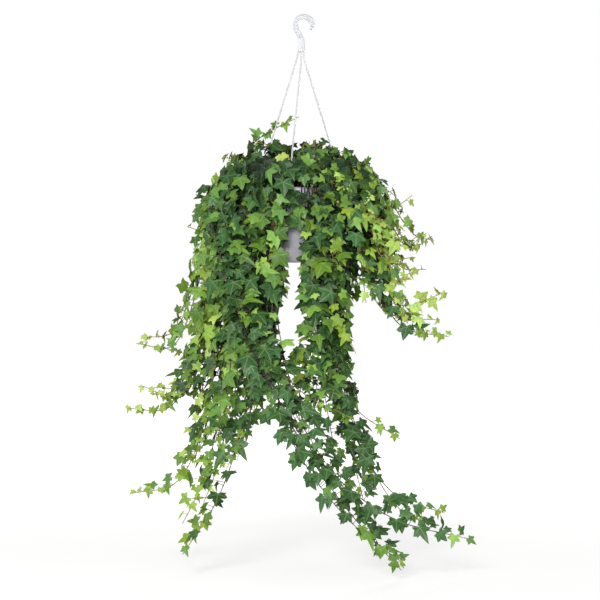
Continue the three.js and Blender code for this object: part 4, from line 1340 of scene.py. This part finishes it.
class IVY_OT_hanger(bpy.types.Operator):
    """Make the moulded hanger: hook, stem and three legs"""

    bl_idname = "ivy.make_hanger"
    bl_label = "Hanger"

    def execute(self, context):
        colours = context.scene.ivy.colours
        parts = [hook_part()]
        for leg in LEGS:
            parts += leg_parts(*leg)
        piece = joined("white_hanger", parts)
        sharpen(piece, 50)
        white = plastic_material("hanger_plastic", colours.hanger, colours.stain, 0.02, 1.0)
        finished(piece, [white], ["hanger"])
        return {"FINISHED"}


# The pot, the saucer and the soil


def wall_radius(z):
    return lerp(POT["top"], POT["bottom"], -z / POT_HEIGHT)


SOIL_EDGE = wall_radius(-SOIL["below"]) - POT["wall"] - GAP
SOIL_FLOOR = POT["wall"] - POT_HEIGHT + GAP


def drilled(piece, holes):
    """Upright round holes through a piece: each is a radius, a point and the heights it runs between."""
    parts = [rod([(x, y, low), (x, y, high)], [radius] * 2, 24) for radius, x, y, low, high in holes]
    cutter = joined("cutter", parts)
    cut = piece.modifiers.new("Holes", "BOOLEAN")
    cut.object = cutter
    cut.solver = "EXACT"
    evaluated = piece.evaluated_get(bpy.context.evaluated_depsgraph_get())
    mesh = bpy.data.meshes.new_from_object(evaluated)
    piece.modifiers.remove(cut)
    piece.data = mesh
    bpy.data.objects.remove(cutter)


class IVY_OT_pot(bpy.types.Operator):
    """Make the tapered pot and its drip saucer"""

    bl_idname = "ivy.make_pot"
    bl_label = "Pot and saucer"

    def execute(self, context):
        colours = context.scene.ivy.colours
        pale = plastic_material("pot_plastic", colours.pot, colours.stain, 0.4, 0.0)
        self.make_pot(pale)
        self.make_saucer(pale)
        return {"FINISHED"}

    def make_pot(self, material):
        wall, floor, drop = POT["wall"], POT["wall"] - POT_HEIGHT, POT["rim_drop"]
        profile = [
            (POT["plug_hole"], -POT_HEIGHT), (wall_radius(-POT_HEIGHT), -POT_HEIGHT),
            (wall_radius(-wall), -wall), (RIM - wall, -wall), (RIM - wall, -drop),
            (RIM - POT["rim_draft"], -drop), (RIM, 0), (wall_radius(0) - wall, 0),
            (wall_radius(floor) - wall, floor), (POT["plug_hole"], floor),
        ]
        piece = turned("pale_pot", rounded(profile, POT["corner"], closed=True))
        holes = []
        for azimuth, _, _ in LEGS:
            x, y, _ = polar(LEG["circle"], azimuth, 0)
            holes.append((LEG["hole"], x, y, RIM_Z - wall - 1, RIM_Z + 1))
        for azimuth in POT["drains"]:
            x, y, _ = polar(POT["drain_circle"], azimuth, 0)
            holes.append((POT["drain_hole"], x, y, RIM_Z - POT_HEIGHT - 1, RIM_Z + floor + 1))
        drilled(piece, holes)
        sharpen(piece, 40)
        finished(piece, [material], ["pot"])

    def make_saucer(self, material):
        s = SAUCER
        below, floor, edge = -SAUCER_DEPTH, s["wall"] - SAUCER_DEPTH, SAUCER_HEIGHT - SAUCER_DEPTH
        lip, under_lip = s["top"] + s["lip"], edge - s["lip"]
        outer, inner = s["stand_ring"] + s["stand_half"], s["stand_ring"] - s["stand_half"]
        ring_top, over, tip = -POT_HEIGHT - GAP, SOIL_FLOOR, SOIL_FLOOR + s["plug_tip"]
        profile = [
            (0, below), (s["bottom"], below), (s["top"], under_lip), (lip, under_lip), (lip, edge),
            (s["top"] - s["wall"], edge), (s["bottom"] - s["wall"], floor), (outer, floor), (outer, ring_top),
            (inner, ring_top), (inner, floor), (s["plug"], floor), (s["plug"], over), (s["plug_head"], over),
            (s["plug"] - 1, tip), (0, tip),
        ]
        piece = turned("drip_saucer", rounded(profile, s["corner"], closed=False))
        sharpen(piece, 40)
        finished(piece, [material], ["saucer"])


def soil_height(radius, azimuth):
    """Height of the soil's surface over the rim, with clods."""
    heights = [SOIL["crown"], SOIL["crown"] * SOIL["slope"], 0]
    rise = np.interp(radius, [0, SOIL["middle"], SOIL_EDGE], heights) - SOIL["below"]
    x, y, _ = polar(radius, azimuth, 0)
    clods = noise.fractal(Vector((x, y, 3.0)) * SOIL["clod"], 0.9, 2.1, 4)
    fade = 1 - smoothstep(radius, SOIL_EDGE - SOIL["edge"], SOIL_EDGE)
    return rise + drawn(SOIL["clods"], clods) * fade


def crumb_form(name, seed):
    """A small broken crumb of a size of 1."""
    build = bmesh.new()
    bmesh.ops.create_icosphere(build, subdivisions=1, radius=0.5)
    for i, v in enumerate(build.verts):
        v.co *= 0.7 + 0.6 * dice(seed, i, "crumb")
        v.co.z *= 0.6
    mesh = bpy.data.meshes.new(name)
    build.to_mesh(mesh)
    build.free()
    return bpy.data.objects.new(name, mesh)


def crumb_tree():
    """Geometry nodes that lay a crumb on each point."""
    tree, nodes, given = new_tree("Bark crumbs", "Geometry", [
        ("Points", "Geometry"), ("Crumbs", "Collection"), ("Seed", "Int"), ("Finish", "Material"),
    ], [("Crumbs", "Geometry")])
    turns = {"Min": (0, 0, 0), "Max": (0.6, 0.6, 6.28), "Seed": given["Seed"]}
    turn = nodes.add("FunctionNodeRandomValue", turns, data_type="FLOAT_VECTOR").outputs["Value"]
    laid = nodes.laid(given["Points"], given["Crumbs"], {"Rotation": turn, "Scale": nodes.carried("width")})
    nodes.add("NodeGroupOutput", {0: nodes.dressed(nodes.real(laid), given["Finish"])})
    return tree


class IVY_OT_soil(bpy.types.Operator):
    """Make the potting soil and the crumbs on it"""

    bl_idname = "ivy.make_soil"
    bl_label = "Soil"

    def execute(self, context):
        self.make_soil()
        self.make_crumbs()
        return {"FINISHED"}

    def make_soil(self):
        inner = wall_radius(SOIL_FLOOR) - POT["wall"] - GAP
        hole, over_plug = SAUCER["plug_head"] + SOIL["plug_clear"], SOIL_FLOOR + SOIL["plug_room"]
        profile = [(0, over_plug), (hole, over_plug), (hole, SOIL_FLOOR), (inner, SOIL_FLOOR)]
        profile += [(r, 0) for r in list(np.linspace(0, SOIL_EDGE, SOIL["rings"]))[::-1]]
        piece = turned("potting_soil", profile, SOIL["sides"])
        for v in piece.data.vertices:
            x, y, z = v.co.x / MM - POT_X, v.co.y / MM, v.co.z / MM - RIM_Z
            if z > -1:
                v.co.z = (RIM_Z + soil_height(math.hypot(x, y), math.degrees(math.atan2(x, -y)))) * MM
        finished(piece, [soil_material()], ["soil"])

    def make_crumbs(self):
        points, widths, tones = [], [], []
        edge = wall_radius(-SOIL["below"]) - POT["wall"] - CRUMBS["inside"]
        for i in range(CRUMBS["count"]):
            out, turn, size, tone = [dice(SEEDS["crumbs"], i, use) for use in range(4)]
            radius, azimuth = edge * math.sqrt(out), 360 * turn
            height = RIM_Z + soil_height(radius, azimuth) + CRUMBS["over"]
            points.append(tuple(MM * polar(radius, azimuth, height)))
            widths.append(MM * drawn(CRUMBS["size"], size**2))
            tones.append(tone)
        mesh = bpy.data.meshes.new("soil_crumbs")
        mesh.from_pydata(points, [], [])
        store(mesh, "width", "FLOAT", widths)
        store(mesh, "tone", "FLOAT", tones)
        forms = bpy.data.collections.new("crumb_forms")
        for seed in range(CRUMBS["forms"]):
            forms.objects.link(crumb_form(f"crumb_{seed}", seed))
        inputs = {"Crumbs": forms, "Seed": CRUMBS["seed"], "Finish": crumb_material()}
        piece = made_by_nodes("soil_crumbs", mesh, crumb_tree(), inputs)
        bare(piece, {"tone", "sharp_face", "material_index"})
        finished(piece, [], [])


# The foliage


class IVY_OT_runners(bpy.types.Operator):
    """Grow the runners that hang round the pot, a piece for each side of the plant"""

    bl_idname = "ivy.grow_runners"
    bl_label = "Hanging runners"

    def execute(self, context):
        for name, members in REGIONS.items():
            runners = []
            for i in members:
                look = "outer" if name in OUTER else "hanging"
                if i in PALE["hanging"]:
                    look = "pale"
                runners.append(grow("hanging", HANGING[i], i, i, look))
                for j in range(SIDE_RUNNERS):
                    row, seed = side_runner(HANGING[i], i, j), SEEDS["beside"] + 10 * i + j
                    beside = grow("hanging", row, i + j, seed, look)
                    if not crosses_window(beside):
                        runners.append(beside)
            for i, row in enumerate(FILL.get(name, [])):
                runners.append(grow("hanging", row, i, SEEDS["fill"] + 20 * len(name) + i))
            foliage_piece(name, runners, [f"runner_{i + 1}" for i in members], context.scene.ivy)
        return {"FINISHED"}


class IVY_OT_crown(bpy.types.Operator):
    """Grow the crown over the pot: its shoots and the one tall spray"""

    bl_idname = "ivy.grow_crown"
    bl_label = "Crown"

    def execute(self, context):
        first = len(HANGING)
        runners = [grow("spray", None, 0, first + len(UPRIGHT))]
        for i, row in enumerate(UPRIGHT):
            look = "pale" if i in PALE["shoot"] else "shoot"
            runners.append(grow("shoot", row, i, first + i, look))
            for j in range(SIDE_SHOOTS):
                seed = SEEDS["shoots"] + 10 * i + j
                runners.append(grow("shoot", side_shoot(row, i, j), i, seed, look if j == 0 else "shoot"))
        nodes = [f"shoot_{i + 1}" for i in range(len(UPRIGHT))] + ["spray"]
        foliage_piece("ivy_crown", runners, nodes, context.scene.ivy)
        return {"FINISHED"}


# The stage, in metres

FLOOR_RADIUS = 14.0
FLOOR_SIDES = 96
AIM = Vector((-0.01, 0.0, -0.5))
# Each lamp's place, size, colour and the setting that its power comes from.
LAMPS = {
    "key_light": ((-0.9, -2.8, 0.7), 0.7, (1.0, 0.99, 0.97), "key"),
    "front_light": ((-0.12, -3.3, -0.25), 0.5, (1.0, 1.0, 0.99), "front"),
    "fill_light": ((2.4, -2.0, 0.0), 1.6, (0.95, 0.98, 1.0), "fill"),
    "left_light": ((-2.8, 1.0, 0.1), 1.4, (1.0, 1.0, 0.98), "fill"),
    "back_light": ((0.7, 2.8, 0.1), 1.6, (1.0, 1.0, 0.97), "back"),
    "top_light": ((0.0, -0.2, 1.6), 1.0, (1.0, 1.0, 1.0), "top"),
}


class IVY_OT_stage(bpy.types.Operator):
    """Set the floor, the light and the camera"""

    bl_idname = "ivy.set_stage"
    bl_label = "Stage"

    def execute(self, context):
        stage = context.scene.ivy.stage
        self.make_floor(stage)
        self.make_sky(context.scene, stage)
        for name, (place, size, colour, setting) in LAMPS.items():
            self.make_lamp(name, place, size, colour, getattr(stage, setting))
        self.make_camera(context.scene)
        return {"FINISHED"}

    def make_lamp(self, name, place, size, colour, power):
        light = bpy.data.lights.new(name, "AREA")
        light.shape = "DISK"
        light.size = size
        light.energy = power
        light.color = colour
        lamp = new_object(name, light)
        lamp.location = place
        lamp.rotation_euler = (AIM - Vector(place)).to_track_quat("-Z", "Y").to_euler()

    def make_floor(self, stage):
        turns = [2 * math.pi * k / FLOOR_SIDES for k in range(FLOOR_SIDES)]
        rim = [(FLOOR_RADIUS * math.cos(a), FLOOR_RADIUS * math.sin(a), -stage.floor_z) for a in turns]
        mesh = bpy.data.meshes.new("pale_floor")
        mesh.from_pydata(rim, [], [list(range(FLOOR_SIDES))])
        floor = new_object("pale_floor", mesh)
        nodes = Finish("floor_paper")
        grain = nodes.noise(nodes.place, 40.0, 3.0)
        tone = nodes.mix(grain, [c * 0.985 for c in stage.floor], stage.floor)
        away = nodes.add("ShaderNodeVectorMath", {0: nodes.place}, operation="LENGTH").outputs["Value"]
        far = nodes.times(nodes.mask(away, 1.2, 5.0), stage.far_glow - stage.near_glow)
        seen = nodes.add("ShaderNodeLightPath").outputs["Is Camera Ray"]
        glow = nodes.times(nodes.plus(stage.near_glow, far), seen)
        nodes.feed(nodes.shader, {"Base Color": tone, "Roughness": 0.95, "Emission Color": (1, 1, 1, 1),
                                  "Emission Strength": glow, "Specular IOR Level": 0.0})
        mesh.materials.append(nodes.material)

    def make_sky(self, scene, stage):
        """Soft light from all round, seen by the camera as plain white."""
        world = bpy.data.worlds.new("white_room")
        world.use_nodes = True
        nodes = Nodes(world.node_tree)
        background = next(node for node in world.node_tree.nodes if node.type == "BACKGROUND")
        seen = nodes.add("ShaderNodeLightPath").outputs["Is Camera Ray"]
        strength = nodes.plus(stage.sky, nodes.times(seen, 1.0 - stage.sky))
        nodes.feed(background, {"Color": (1, 1, 1, 1), "Strength": strength})
        scene.world = world
        scene.view_settings.view_transform = "Standard"
        scene.view_settings.look = "None"

    def make_camera(self, scene):
        camera = bpy.data.cameras.new("camera")
        camera.sensor_width = CAMERA["sensor"]
        camera.lens = CAMERA["lens"]
        camera.clip_end = 60
        made = new_object("camera", camera)
        made.location = CAMERA["place"]
        made.rotation_euler = (math.radians(90), 0, 0)
        scene.camera = made


# The panel


OPERATORS = (IVY_OT_stage, IVY_OT_hanger, IVY_OT_pot, IVY_OT_soil, IVY_OT_runners, IVY_OT_crown)


class IVY_PT_panel(bpy.types.Panel):
    """Lists the pieces and their settings"""

    bl_label = "Hanging English Ivy"
    bl_idname = "IVY_PT_panel"
    bl_space_type = "VIEW_3D"
    bl_region_type = "UI"
    bl_category = "Ivy"

    def draw(self, context):
        column = self.layout.column()
        for operator in OPERATORS:
            column.operator(operator.bl_idname)
        settings = context.scene.ivy
        for group in (settings.sizes, settings.colours, settings.stage):
            box = self.layout.box()
            for name in type(group).__annotations__:
                box.prop(group, name)


CLASSES = (IvySizes, IvyColours, IvyStage, IvySettings, *OPERATORS, IVY_PT_panel)


def register():
    for each in CLASSES:
        bpy.utils.register_class(each)
    bpy.types.Scene.ivy = bpy.props.PointerProperty(type=IvySettings)


def unregister():
    del bpy.types.Scene.ivy
    for each in reversed(CLASSES):
        bpy.utils.unregister_class(each)


def clear_forms():
    """The forms that the foliage was made from aren't pieces of the object."""
    for name in ("leaf_forms", "crumb_forms"):
        collection = bpy.data.collections[name]
        for form in list(collection.objects):
            bpy.data.objects.remove(form)
        bpy.data.collections.remove(collection)


def main():
    register()
    bpy.ops.ivy.set_stage()
    bpy.ops.ivy.make_hanger()
    bpy.ops.ivy.make_pot()
    bpy.ops.ivy.make_soil()
    bpy.ops.ivy.grow_runners()
    bpy.ops.ivy.grow_crown()
    clear_forms()


if __name__ == "__main__":
    main()
